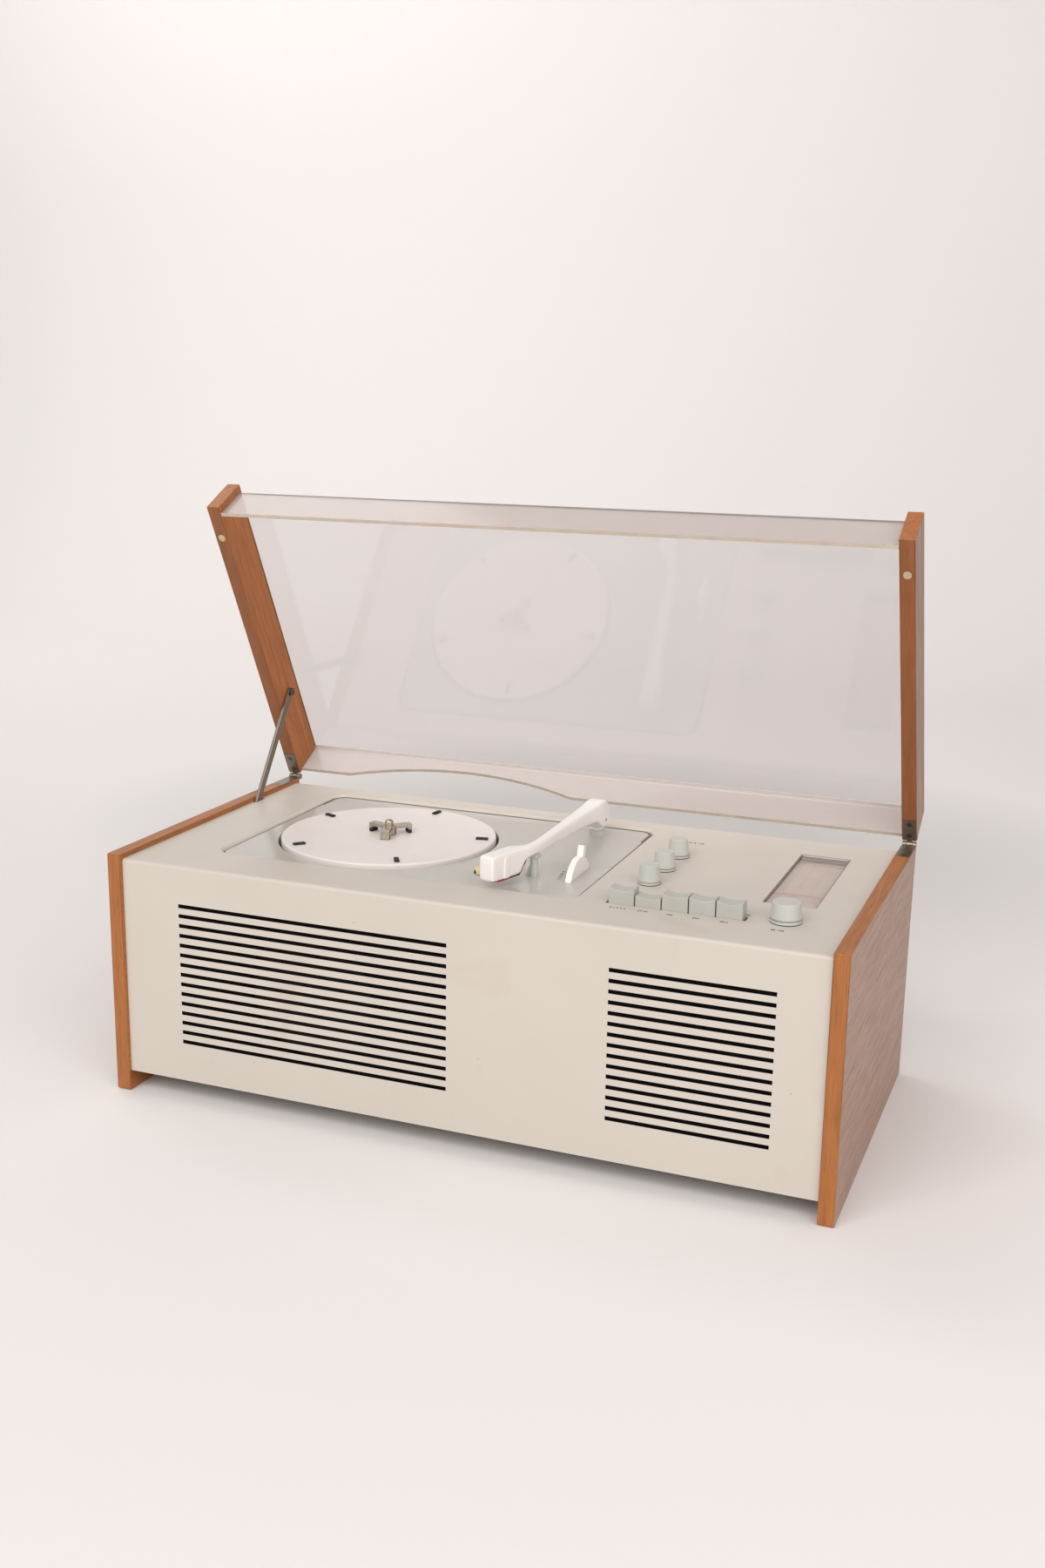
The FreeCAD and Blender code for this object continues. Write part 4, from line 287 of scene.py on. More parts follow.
plain_finish("cartridge_black", tint(26, 24, 25), 0.38, 90, 0.15, 1600, 0.06)
plain_finish("head_red", tint(168, 34, 28), 0.4, 120, 0.1, 1600, 0.05)
plain_finish("knob_cream", tint(226, 208, 170), 0.38, 150, 0.08, 1800, 0.06,
             marks=((tint(130, 100, 62), 500, 0.62, 0.72, 0.6),))
plain_finish("acrylic_edge", tint(202, 188, 172), 0.3, 60, 0.08, 1500, 0.05)
print("paint and plastic:", len(FINISHES))

# %% [markdown]
# Metal uses the same function with its metal value raised. Hinges and the lid's stay are dull nickel,
# the record adapter is brighter, and the screws are darker. Plated steel, speaker steel, iron and the
# capacitor's alloy are for what such a player holds inside.
# Rubber, foam, boards and inks complete the list. The board behind the slots is a dead black, so its
# own shine is turned down as well.

# %% Metal, rubber and ink
plain_finish("nickel", tint(182, 172, 158), 0.28, 120, 0.10, 1800, 0.06, metal=1.0,
             marks=((tint(108, 94, 78), 240, 0.62, 0.75, 0.6),))
plain_finish("hinge_nickel", tint(138, 129, 116), 0.36, 120, 0.08, 1800, 0.06, metal=1.0,
             marks=((tint(96, 86, 74), 240, 0.62, 0.75, 0.35),))
plain_finish("screw_steel", tint(104, 96, 86), 0.36, 120, 0.12, 1800, 0.08, metal=1.0)
plain_finish("bright_steel", tint(190, 188, 184), 0.22, 150, 0.06, 2000, 0.05, metal=1.0)
plain_finish("brass", tint(204, 186, 152), 0.4, 150, 0.10, 2000, 0.06, metal=0.35)
plain_finish("plated_steel", tint(168, 166, 160), 0.42, 25, 0.10, 900, 0.06, metal=1.0,
             marks=((tint(120, 104, 84), 40, 0.62, 0.75, 0.5),))
plain_finish("speaker_steel", tint(96, 98, 98), 0.5, 30, 0.10, 900, 0.08, metal=0.6)
plain_finish("core_iron", tint(92, 84, 78), 0.55, 40, 0.15, 900, 0.15, metal=0.7)
plain_finish("capacitor_alloy", tint(176, 176, 172), 0.38, 60, 0.08, 1500, 0.06, metal=0.9)
plain_finish("rubber", tint(34, 33, 33), 0.72, 90, 0.15, 2200, 0.15)
# A dark brown-grey for the painted shade in the gap round the deck plate.
plain_finish("gap_shade_dark", tint(116, 104, 94), 0.8, 90, 0.12, 2200, 0.1)
plain_finish("cone_paper", tint(42, 38, 34), 0.9, 60, 0.2, 700, 0.4)
plain_finish("print_ink", tint(40, 35, 32), 0.7, 300, 0.2, 2500, 0.1)
plain_finish("scale_ink", tint(140, 130, 122), 0.7, 300, 0.15, 2500, 0.1)
plain_finish("black_board", tint(5, 5, 5), 0.9, 50, 0.2, 1400, 0.2)
BOARD_SHINE = 0.1
board_shader = FINISHES["black_board"].node_tree.nodes["Principled BSDF"]
board_shader.inputs["Specular IOR Level"].default_value = BOARD_SHINE
print("plain finishes:", len(FINISHES))

# %% [markdown]
# The paper is plain white. The cabinet and the open lid leave a broad soft shadow behind them that
# large lamps alone would wash out, so the paper is a little darker there.
# The distance from the middle of that patch, stretched to an oval, fades it out.

# %% Paper finish
SHADOW_MIDDLE, SHADOW_REACH, SHADOW_SHADE = (-0.15, 0.72, 0), (0.75, 0.55, 1), 0.72
SHADOW_CORE, PAPER_ROUGHNESS = 0.35, 0.9


def paper_finish(colour):
    """White paper with a soft shadow on it."""
    material, tree, shader = new_finish("paper_white")
    place = tree.nodes.new("ShaderNodeTexCoord")
    mapping = tree.nodes.new("ShaderNodeMapping")
    mapping.vector_type = "TEXTURE"
    mapping.inputs["Location"].default_value = SHADOW_MIDDLE
    mapping.inputs["Scale"].default_value = SHADOW_REACH
    length = tree.nodes.new("ShaderNodeVectorMath")
    length.operation = "LENGTH"
    tree.links.new(place.outputs["Object"], mapping.inputs["Vector"])
    tree.links.new(mapping.outputs["Vector"], length.inputs[0])
    shadow = spread(tree, length.outputs["Value"], SHADOW_CORE, 1.0, 1, 0)
    tree.links.new(mixed(tree, shadow, colour, shade(colour, SHADOW_SHADE)), shader.inputs["Base Color"])
    shader.inputs["Roughness"].default_value = PAPER_ROUGHNESS
    return material


paper.data.materials.append(paper_finish(tint(242, 239, 238)))
print("paper wears", paper.data.materials[0].name)

# %% [markdown]
# The side panels and the cheeks of the lid are veneered wood under a thin oil finish.
# Noise that is drawn out along the grain gives the broad figure, and a finer one gives the pores.
# The grain runs from front to back, except on the front edges, where a strip of wood stands upright.
# The outer faces are a greyer brown than the edges. A face looks outward when its direction
# and its place point to the same side, so the product of the two picks the colour.

# %% Wood finishes
GRAIN_SCALE, GRAIN_DETAIL, GRAIN_LENGTH, GRAIN_WARP = 300, 4, 14, 0.6
PORE_SCALE, PORE_DETAIL, PORE_LENGTH = 1300, 3, 24
PORE_START, PORE_FULL, PORE_AMOUNT = 0.54, 0.70, 0.6
OUTER_START, OUTER_FULL, FRONT_START, FRONT_FULL = 0.15, 0.24, 0.6, 0.8
DARK_EDGE, DARK_FACE, DEEP_EDGE, DEEP_FACE = 0.74, 0.80, 0.42, 0.46
DARK_ROUGHNESS, LIGHT_ROUGHNESS, PORE_BUMP = 0.52, 0.40, 0.12


def grain_and_pores(tree, way, lean):
    """Broad figure and fine pores, drawn out along one axis."""
    long_grain = tuple(GRAIN_LENGTH if axis == way else 1 for axis in "XYZ")
    long_pores = tuple(PORE_LENGTH if axis == way else 1 for axis in "XYZ")
    figure = spread(tree, noise(tree, GRAIN_SCALE, GRAIN_DETAIL, long_grain, lean, GRAIN_WARP),
                    NOISE_LOW, NOISE_HIGH, 0, 1)
    pores = spread(tree, noise(tree, PORE_SCALE, PORE_DETAIL, long_pores, lean),
                   PORE_START, PORE_FULL, 0, PORE_AMOUNT)
    return figure, pores


def wood_finish(name, edge, face, lean, front_way, painted_front_shade):
    """Oiled wood with its grain along Y, leaned about X. Front edges can get a painted shade."""
    material, tree, shader = new_finish(name)
    geometry = tree.nodes.new("ShaderNodeNewGeometry")
    place = tree.nodes.new("ShaderNodeTexCoord")
    outward = tree.nodes.new("ShaderNodeVectorMath")
    outward.operation = "MULTIPLY"
    outward.inputs[1].default_value = (1, 0, 0)
    tree.links.new(geometry.outputs["Normal"], outward.inputs[0])
    facing = tree.nodes.new("ShaderNodeVectorMath")
    facing.operation = "DOT_PRODUCT"
    tree.links.new(outward.outputs["Vector"], facing.inputs[0])
    tree.links.new(place.outputs["Object"], facing.inputs[1])
    outer_face = spread(tree, facing.outputs["Value"], OUTER_START, OUTER_FULL, 0, 1)
    front = tree.nodes.new("ShaderNodeVectorMath")
    front.operation = "DOT_PRODUCT"
    front.inputs[1].default_value = front_way
    tree.links.new(geometry.outputs["Normal"], front.inputs[0])
    forward = spread(tree, front.outputs["Value"], FRONT_START, FRONT_FULL, 0, 1)
    figure, pores = grain_and_pores(tree, "Y", lean)
    if lean == 0:
        standing, standing_pores = grain_and_pores(tree, "Z", 0)
        figure = spread(tree, mixed(tree, forward, figure, standing), 0, 1, 0, 1)
        pores = spread(tree, mixed(tree, forward, pores, standing_pores), 0, 1, 0, 1)
    edge_tone = mixed(tree, forward, edge, shade(edge, painted_front_shade))
    edge_dark = mixed(tree, forward, shade(edge, DARK_EDGE), shade(edge, DARK_EDGE * painted_front_shade))
    base = mixed(tree, outer_face, edge_tone, face)
    dark = mixed(tree, outer_face, edge_dark, shade(face, DARK_FACE))
    grain = mixed(tree, figure, dark, base)
    deep = mixed(tree, outer_face, shade(edge, DEEP_EDGE), shade(face, DEEP_FACE))
    tree.links.new(mixed(tree, pores, grain, deep), shader.inputs["Base Color"])
    rough = spread(tree, figure, 0, 1, DARK_ROUGHNESS, LIGHT_ROUGHNESS)
    tree.links.new(rough, shader.inputs["Roughness"])
    dented(tree, shader, pores, PORE_BUMP)
    FINISHES[name] = material


LID_LEAN = math.radians(-63)
LID_FRONT = (0, math.sin(LID_LEAN), -math.cos(LID_LEAN))
wood_finish("wood", tint(179, 110, 53), tint(172, 136, 117), 0.0, (0, -1, 0), 1.0)
# On the cheeks the front edges get a painted shade of 0.66: with the lid open they face down and forward,
# away from the light above.
wood_finish("lid_wood", tint(184, 112, 60), tint(158, 122, 101), LID_LEAN, LID_FRONT, 0.66)
print("wood finishes:", [name for name in FINISHES if "wood" in name])

# %% [markdown]
# The lid and the dial window are clear acrylic, and the valves inside are glass.
# Real acrylic is never quite even: faint scuffs show where its roughness wanders.
# The lips and folds of the lid are less clear than its broad sheet, so they have finishes of their own.

# %% Clear finishes
SCUFF_SCALE, SCUFF_DETAIL, SCUFF_WARP, SCUFF_START, SCUFF_FULL = 26, 6, 1.5, 0.45, 0.75
WAVE_SCALE, WAVE_DETAIL, WAVE_BUMP, WAVE_DEPTH = 9, 2, 0.02, 0.0005


def clear_finish(name, colour, rough, bend, haze, clear=1.0):
    """Clear or half clear plastic or glass, with faint scuffs in its roughness."""
    material, tree, shader = new_finish(name)
    shader.inputs["Base Color"].default_value = colour
    shader.inputs["Transmission Weight"].default_value = clear
    shader.inputs["IOR"].default_value = bend
    scuffs = noise(tree, SCUFF_SCALE, SCUFF_DETAIL, warp=SCUFF_WARP)
    tree.links.new(spread(tree, scuffs, SCUFF_START, SCUFF_FULL, rough, haze), shader.inputs["Roughness"])
    dented(tree, shader, noise(tree, WAVE_SCALE, WAVE_DETAIL), WAVE_BUMP, WAVE_DEPTH)
    FINISHES[name] = material


clear_finish("clear_acrylic", tint(239, 236, 236), 0.02, 1.49, 0.10)
clear_finish("acrylic_lip", tint(214, 206, 202), 0.06, 1.3, 0.16, 0.6)
# The milky grey of the folds is painted light, for the light carried inside the bent sheet.
clear_finish("acrylic_fold", tint(212, 204, 200), 0.10, 1.2, 0.20, 0.35)
clear_finish("dial_pane", tint(250, 246, 243), 0.03, 1.49, 0.08)
clear_finish("valve_glass", tint(232, 236, 234), 0.02, 1.5, 0.06)
print("all finishes:", len(FINISHES))

# %% [markdown]
# The CAD pieces keep their shapes and get these finishes in their material slots.
# The record says which slot each piece uses, so one loop dresses them all.
# A few pieces have a finish of their own, such as the cheeks, whose grain leans with the open lid.
# The dial window throws no shadow, as a clear pane hardly would.

# %% Dress the CAD pieces
HINGE_PARTS = ("left_fixed_leaf", "right_fixed_leaf", "left_moving_leaf", "right_moving_leaf",
               "hinge_pins", "lid_stay")
SPECIAL = {"left_lid_cheek": "lid_wood", "right_lid_cheek": "lid_wood", "platter": "platter_white",
           "arm_post": "rest_plastic", "spindle": "nickel", "lid_screws": "screw_steel",
           "cabinet_screws": "screw_steel"}
SPECIAL.update(dict.fromkeys(HINGE_PARTS, "hinge_nickel"))
slots_of = {entry["node"]: entry["material_slot"] for entry in frame["record"]["subparts"]}
for name, item in frame["nodes"].items():
    finish = FINISHES[SPECIAL.get(name, slots_of[name])]
    item.data.materials.clear()
    item.data.materials.append(finish)
frame["nodes"]["dial_window"].visible_shadow = False
print("dressed:", len(slots_of))

# %% [markdown]
# The cut edges of the slots in the front are drawn black, as dark as the board behind them.
# They belong to the painted sheet, so they are found by their place: from a quarter of a millimetre
# behind the front face to the back of the sheet, and below the fold at its top.
# Each limit is a short ramp from none to full, and their product is the part to blacken.

# %% Black slots
SLOT_BLACK = tint(6, 6, 6)
CUT_STARTS, CUT_ENDS, FOLD_STARTS = (0.25, 0.35), (2.0, 2.2), (180, 181)


def blacken_slots(material):
    """Paints the cut edges of the front slots black."""
    tree = material.node_tree
    shader = tree.nodes["Principled BSDF"]
    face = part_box("body_shell")[0].y
    place = tree.nodes.new("ShaderNodeTexCoord")
    parts = tree.nodes.new("ShaderNodeSeparateXYZ")
    tree.links.new(place.outputs["Object"], parts.inputs[0])
    inside = spread(tree, parts.outputs["Y"], *(face + depth * MM for depth in CUT_STARTS), 0, 1)
    sheet = spread(tree, parts.outputs["Y"], *(face + depth * MM for depth in CUT_ENDS), 1, 0)
    below = spread(tree, parts.outputs["Z"], *(height * MM for height in FOLD_STARTS), 1, 0)
    for limit in (sheet, below):
        both = tree.nodes.new("ShaderNodeMath")
        both.operation = "MULTIPLY"
        tree.links.new(inside, both.inputs[0])
        tree.links.new(limit, both.inputs[1])
        inside = both.outputs[0]
    paint = shader.inputs["Base Color"].links[0].from_socket
    tree.links.new(mixed(tree, inside, paint, SLOT_BLACK), shader.inputs["Base Color"])


blacken_slots(FINISHES["painted_steel"])
print("slots blackened in", FINISHES["painted_steel"].name)

# %% [markdown]
# Real edges are never razor sharp: a saw, a mould or a press leaves a small round that catches light.
# This helper copies a CAD piece, merges its flat triangles back into whole faces and bevels the
# sharp edges. The copy stands for the CAD piece and rides on the same body.

# %% Softened pieces
MERGE_GAP, FLAT_ANGLE, SHARP_ANGLE, ROUND_STEPS = 1e-6, math.radians(0.6), math.radians(35), 2


def body_of(node):
    """The body that a CAD node belongs to."""
    return next(body for body, nodes in frame["record"]["behaviour"]["bodies"].items() if node in nodes)


def softened(node, width):
    """A copy of a CAD piece with rounded edges. Width is in millimetres."""
    mesh = frame["nodes"][node].data.copy()
    shape = bmesh.new()
    shape.from_mesh(mesh)
    bmesh.ops.remove_doubles(shape, verts=shape.verts, dist=MERGE_GAP)
    bmesh.ops.dissolve_limit(shape, angle_limit=FLAT_ANGLE, verts=shape.verts, edges=shape.edges)
    for face in shape.faces:
        face.smooth = True
    shape.to_mesh(mesh)
    shape.free()
    if "custom_normal" in mesh.attributes:
        mesh.attributes.remove(mesh.attributes["custom_normal"])
    piece = bpy.data.objects.new(node + "_soft", mesh)
    scene.collection.objects.link(piece)
    bevel = piece.modifiers.new("edge_round", "BEVEL")
    bevel.width = width * MM
    bevel.segments = ROUND_STEPS
    bevel.limit_method = "ANGLE"
    bevel.angle_limit = SHARP_ANGLE
    bevel.use_clamp_overlap = False
    even = piece.modifiers.new("even_shading", "WEIGHTED_NORMAL")
    even.keep_sharp = True
    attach(piece, body_of(node))
    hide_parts(node)


SOFT = {
    "left_side_panel": 0.7, "right_side_panel": 0.7, "left_lid_cheek": 0.7, "right_lid_cheek": 0.7,
    "volume_knob": 0.5, "bass_knob": 0.5, "treble_knob": 0.5, "tuning_knob": 0.6,
    "record_adapter": 0.4, "platter_pads": 0.3, "speed_lever": 0.35, "lid_stay": 0.25,
}
for node, width in SOFT.items():
    softened(node, width)
print("softened:", len(SOFT))

# %% [markdown]
# The lid is one bent sheet of clear acrylic. Its broad faces are clear, but its cut edges look
# like a fine warm line, because light that travels inside the sheet comes out there.
# A ray sent inward from each face tells the two apart: through the sheet it is a few millimetres,
# and from a cut edge it is much longer. The folded lips are a little smokier than the broad cover, and
# the folds are a milky grey, which is painted light for the light that the bent sheet carries inside it.

# %% Clear lid
RAY_START, SHEET_LIMIT = 0.01, 8
LIP_LEANING, FOLD_LEANING = 0.3, 0.98


def lid_sheet():
    """A copy of the clear cover whose cut edges, lips and folds wear their own finishes."""
    mesh = frame["nodes"]["lid_cover"].data.copy()
    for finish in ("acrylic_edge", "acrylic_lip", "acrylic_fold"):
        mesh.materials.append(FINISHES[finish])
    broad = max(mesh.polygons, key=lambda face: face.area).normal.copy()
    corners = [vertex.co for vertex in mesh.vertices]
    tree = BVHTree.FromPolygons(corners, [tuple(face.vertices) for face in mesh.polygons])
    for face in mesh.polygons:
        inward = tree.ray_cast(face.center - face.normal * RAY_START * MM, -face.normal)[3]
        leaning = abs(face.normal.dot(broad))
        if inward and inward > SHEET_LIMIT * MM:
            face.material_index = 1
        elif leaning < LIP_LEANING:
            face.material_index = 2
        elif leaning < FOLD_LEANING:
            face.material_index = 3
    piece = bpy.data.objects.new("lid_sheet", mesh)
    scene.collection.objects.link(piece)
    piece.visible_shadow = False
    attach(piece, "lid")
    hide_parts("lid_cover")
    return piece


lid_faces = lid_sheet().data.polygons
print("cut edge faces:", sum(face.material_index == 1 for face in lid_faces), "of", len(lid_faces))

# %% [markdown]
# The tone arm is a moulded shell that flows from a tall heel over its post, through a slim tube, to
# a boxy head. Such a shape is easy to make from a few rings of points along the arm.
# Each ring is a row of millimetres: its place along the arm and to the side, half its width, its lowest
# and highest points, and how far its corners are rounded.

# %% Rings of the tone arm
ARM_PIVOT = Vector((34, 74.422, 206.2))
HEAD_TURN = math.radians(17.9)
HEAD_FRONT = Vector((-24.3, -186, 0))
HEAD_BACK = Vector((math.sin(HEAD_TURN), math.cos(HEAD_TURN), 0))
HEAD_RIGHT = Vector((math.cos(HEAD_TURN), -math.sin(HEAD_TURN), 0))
STRAIGHT = Vector((1, 0, 0))
CORNER_CUT, WIDE_SHARE, TALL_SHARE = 0.29, 0.8, 0.4
TUBE_RINGS = (
    (10.0, 0, 4.6, 2.2, 6.6, 1.5), (9.5, 0, 6.1, 0.0, 9.2, 2.0),
    (7.6, 0, 7.2, -2.6, 12.8, 2.2), (3.5, 0, 7.5, -5.2, 16.0, 2.4),
    (-1.0, 0, 7.6, -6.6, 17.4, 2.5), (-4.0, 0, 7.6, -6.7, 17.8, 2.5),
    (-7.5, 0, 7.6, -5.0, 17.9, 2.5), (-12.0, 0, 7.5, -1.6, 17.8, 2.5),
    (-16.5, 0, 7.3, 1.2, 17.5, 2.5), (-21.0, -0.3, 7.0, 2.2, 17.0, 2.6),
    (-32.0, -1.2, 6.2, 2.6, 16.1, 2.6), (-70.0, -2.8, 5.2, 3.3, 14.9, 2.5),
    (-110.0, -4.2, 4.3, 4.1, 13.5, 2.3), (-134.0, -5.0, 3.8, 4.5, 12.9, 2.1),
)
HEAD_RINGS = (
    (44.0, 3.0, 4.4, 4.3, 12.8, 2.0), (39.0, 1.4, 5.7, 3.4, 13.0, 1.9),
    (36.0, 0.4, 6.5, -0.6, 13.2, 1.8), (33.0, 0, 6.9, -5.6, 13.3, 1.7),
    (31.0, 0, 6.9, -6.3, 13.3, 1.7), (18.0, 0, 6.95, -6.4, 13.3, 1.7),
    (4.0, 0, 6.9, -6.4, 13.2, 1.7), (1.2, 0, 6.8, -6.3, 13.1, 1.8),
    (0.2, 0, 6.3, -5.7, 12.5, 1.9), (-0.3, 0, 5.4, -4.6, 11.4, 1.9),
)


def from_pivot(x, y, z):
    """A point given in millimetres from the arm's pivot."""
    return (ARM_PIVOT + Vector((x, y, z))) * MM


def on_head(behind, aside, height):
    """A point of the arm's head: distance behind its front, to its right, and height."""
    place = HEAD_FRONT + HEAD_BACK * behind + HEAD_RIGHT * aside
    return from_pivot(place.x, place.y, height)


def arm_ring(middle, sideways, half, low, high, soft):
    """Sixteen points around the arm: a box whose corners are rounded over a soft distance."""
    wide = min(soft, half * WIDE_SHARE)
    tall = min(soft, (high - low) * TALL_SHARE)
    level = (low + high) / 2
    quarter = [(half, high - tall), (half - CORNER_CUT * wide, high - CORNER_CUT * tall),
               (half - wide, high)]
    upper = [(half, level)] + quarter + [(0, high)] + [(-x, z) for x, z in quarter[::-1]]
    outline = upper + [(-x, 2 * level - z) for x, z in upper]
    return [from_pivot(*(middle + sideways * aside + Vector((0, 0, height))))
            for aside, height in outline]


rings = [arm_ring(Vector((aside, along, 0)), STRAIGHT, *sizes) for along, aside, *sizes in TUBE_RINGS]
for behind, aside, *sizes in HEAD_RINGS:
    middle = HEAD_FRONT + HEAD_BACK * behind + HEAD_RIGHT * aside
    rings.append(arm_ring(Vector((middle.x, middle.y, 0)), HEAD_RIGHT, *sizes))
print("tone arm rings:", len(rings))

# %% [markdown]
# The rings are joined into a closed tube, and a subdivision modifier rounds it into one smooth skin.
# Sculpting would do as well, but a ring can be changed later by changing one row of numbers.
# A helper gives each new piece what it needs: a finish, a body to ride on and a material slot.

# %% Skin of the tone arm
SMOOTH_LEVELS = 2


def close_rings(shape, rings):
    """Joins rings of points into a tube and closes both its ends."""
    rows = [[shape.verts.new(point) for point in ring] for ring in rings]
    count = len(rows[0])
    for first, second in zip(rows, rows[1:]):
        for index in range(count):
            after = (index + 1) % count
            shape.faces.new((first[index], first[after], second[after], second[index]))
    shape.faces.new(rows[0][::-1])
    shape.faces.new(rows[-1])
    bmesh.ops.recalc_face_normals(shape, faces=shape.faces)


def place_piece(piece, finish, body):
    """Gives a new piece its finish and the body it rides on."""
    piece.data.materials.append(FINISHES[finish])
    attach(piece, body)
    return piece


arm_shape = bmesh.new()
close_rings(arm_shape, rings)
for face in arm_shape.faces:
    face.smooth = True
tonearm = place_piece(mesh_piece("tonearm_shell", arm_shape), "white_plastic", "arm")
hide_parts("tonearm")
smooth = tonearm.modifiers.new("smooth", "SUBSURF")
smooth.levels = SMOOTH_LEVELS
smooth.render_levels = SMOOTH_LEVELS
print("tone arm faces before smoothing:", len(tonearm.data.polygons))

# %% [markdown]
# Small parts sit on the head: a finger tab on its right side, the red and black edges of the
# cartridge below it, and the fine wires that run up into the tube.
# Each is a little box or curve with rounded edges, placed in the head's own directions.
# A row gives how far behind the head's front it lies, how far to the right, its heights, the round of
# its edges and how much narrower its top is.

# %% Parts of the head
HEAD_BOXES = (
    ("finger_tab", (12.5, 18.5), (6.0, 7.9), (-5.6, 10.2), 0.5, 0.9, "white_plastic", "white_plastic"),
    ("tab_groove", (10.6, 12.2), (6.2, 7.05), (-1.0, 7.0), 0.2, 0.2, "white_plastic", "white_plastic"),
    ("cartridge_red_edge", (7.0, 21.0), (3.6, 6.2), (-7.4, -5.6), 0.2, 0.0,
     "head_red", "cartridge_black"),
    ("cartridge_black_edge", (21.0, 32.5), (3.6, 6.2), (-7.2, -5.6), 0.2, 0.0,
     "cartridge_black", "cartridge_black"),
)
WIRE_PATH = ((32.5, 6.2, -6.2), (34.8, 6.4, -3.4), (35.6, 6.8, -0.6), (38.6, 6.6, 1.2), (40.0, 6.4, 4.6))
WIRE_OFFSETS, WIRE_RADIUS = (0.0, 0.9), 0.32
BOX_FACES = ((0, 1, 2, 3), (4, 5, 6, 7), (0, 1, 5, 4), (1, 2, 6, 5), (2, 3, 7, 6), (3, 0, 4, 7))


def rounded_box(name, corners, width, finish, body):
    """A box from eight corners, low ring first, with rounded edges."""
    shape = bmesh.new()
    points = [shape.verts.new(corner) for corner in corners]
    for ring in BOX_FACES:
        shape.faces.new([points[index] for index in ring])
    bmesh.ops.recalc_face_normals(shape, faces=shape.faces)
    bmesh.ops.bevel(shape, geom=shape.edges[:], offset=width * MM, segments=2, affect="EDGES",
                    profile=0.5)
    for face in shape.faces:
        face.smooth = True
    piece = place_piece(mesh_piece(name, shape), finish, body)
    piece.modifiers.new("even_shading", "WEIGHTED_NORMAL")
    return piece


def head_box(name, behind, aside, heights, width, taper, finish, slot):
    """A rounded box on the head, narrower along the head at its top by the taper."""
    corners = []
    for height, nip in ((heights[0], 0), (heights[1], taper)):
        start, end = behind[0] + nip, behind[1] - nip
        corners += [on_head(start, aside[0], height), on_head(start, aside[1], height),
                    on_head(end, aside[1], height), on_head(end, aside[0], height)]
    return rounded_box(name, corners, width, finish, "arm")


def piece_from_curve(name, curve):
    """Turns a curve or a line of text into an object with a mesh."""
    holder = bpy.data.objects.new(name + "_curve", curve)
    mesh = bpy.data.meshes.new_from_object(holder)
    bpy.data.objects.remove(holder)
    piece = bpy.data.objects.new(name, mesh)
    scene.collection.objects.link(piece)
    return piece


def head_wire(name, points):
    """A thin wire through points."""
    curve = bpy.data.curves.new(name, "CURVE")
    curve.dimensions = "3D"
    curve.bevel_depth = WIRE_RADIUS * MM
    curve.bevel_resolution = 2
    spline = curve.splines.new("NURBS")
    spline.points.add(len(points) - 1)
    for target, point in zip(spline.points, points):
        target.co = (*point, 1)
    spline.use_endpoint_u = True
    spline.order_u = 3
    return place_piece(piece_from_curve(name, curve), "head_red", "arm")


arm_parts = [head_box(*row) for row in HEAD_BOXES]
for number, offset in enumerate(WIRE_OFFSETS):
    path = [on_head(behind, aside - offset, height) for behind, aside, height in WIRE_PATH]
    arm_parts.append(head_wire(f"head_wire_{number + 1}", path))
print("parts of the head:", [piece.name for piece in arm_parts])

# %% [markdown]
# A cream knob with eight sides stands out to the left of the head, with a dark mark on its front.
# A plain cylinder would be too straight, because the knob swells in its middle. It is made from a
# stack of rings along its own axis, as the arm is.
# A small dark block of painted shade on the heel stands for the hole where the pivot pin ends.

# %% Knob of the head
KNOB_SIDES, KNOB_EDGE = 8, 0.2
KNOB_RINGS = ((-5.0, 2.6), (-2.4, 3.0), (0.4, 4.2), (3.2, 4.0), (5.0, 2.4))
MARK_OUT, MARK_FORWARD, MARK_DEPTH, MARK_EDGE = 1.8, 4.0, 0.35, 0.05
MARK_OUTLINE = ((-1.3, -1.2), (1.3, -1.2), (0.4, 1.5), (-0.2, 1.5))
HOLE_SHADE_SIDES, HOLE_SHADE_EDGE = (7.2, 7.75), 0.25
HOLE_SHADE_OUTLINE = ((-1.0, -1.4), (1.0, -1.4), (1.0, 1.0), (-1.0, 1.0))


def head_knob():
    """An eight-sided knob to the left of the head, with a dark mark on its front."""
    low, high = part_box("finger_lift")
    middle = (low + high) / 2
    out, top, forward = -HEAD_RIGHT, Vector((0, 0, 1)), -HEAD_BACK
    side = out.cross(top)
    angles = [math.radians((step + 0.5) * 360 / KNOB_SIDES) for step in range(KNOB_SIDES)]
    rounds = [side * math.cos(angle) + top * math.sin(angle) for angle in angles]
    shape = bmesh.new()
    close_rings(shape, [[middle + (out * along + spoke * radius) * MM for spoke in rounds]
                        for along, radius in KNOB_RINGS])
    bmesh.ops.bevel(shape, geom=shape.edges[:], offset=KNOB_EDGE * MM, segments=1, affect="EDGES",
                    profile=0.5)
    piece = place_piece(mesh_piece("head_knob", shape), "knob_cream", "arm")
    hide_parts("finger_lift")
    spot = middle + (out * MARK_OUT + forward * MARK_FORWARD) * MM
    corners = [spot + (out * a + top * b + forward * depth) * MM for depth in (0, MARK_DEPTH)
               for a, b in MARK_OUTLINE]
    rounded_box("head_knob_mark", corners, MARK_EDGE, "cartridge_black", "arm")
    return piece


knob = head_knob()
# A small dark block on the heel is painted shade for the hole at the end of the pivot pin.
hole_shade_corners = [from_pivot(x, y, z) for x in HOLE_SHADE_SIDES for y, z in HOLE_SHADE_OUTLINE]
rounded_box("pivot_hole_shade", hole_shade_corners, HOLE_SHADE_EDGE, "cartridge_black", "arm")
print("faces of the knob:", len(knob.data.polygons))

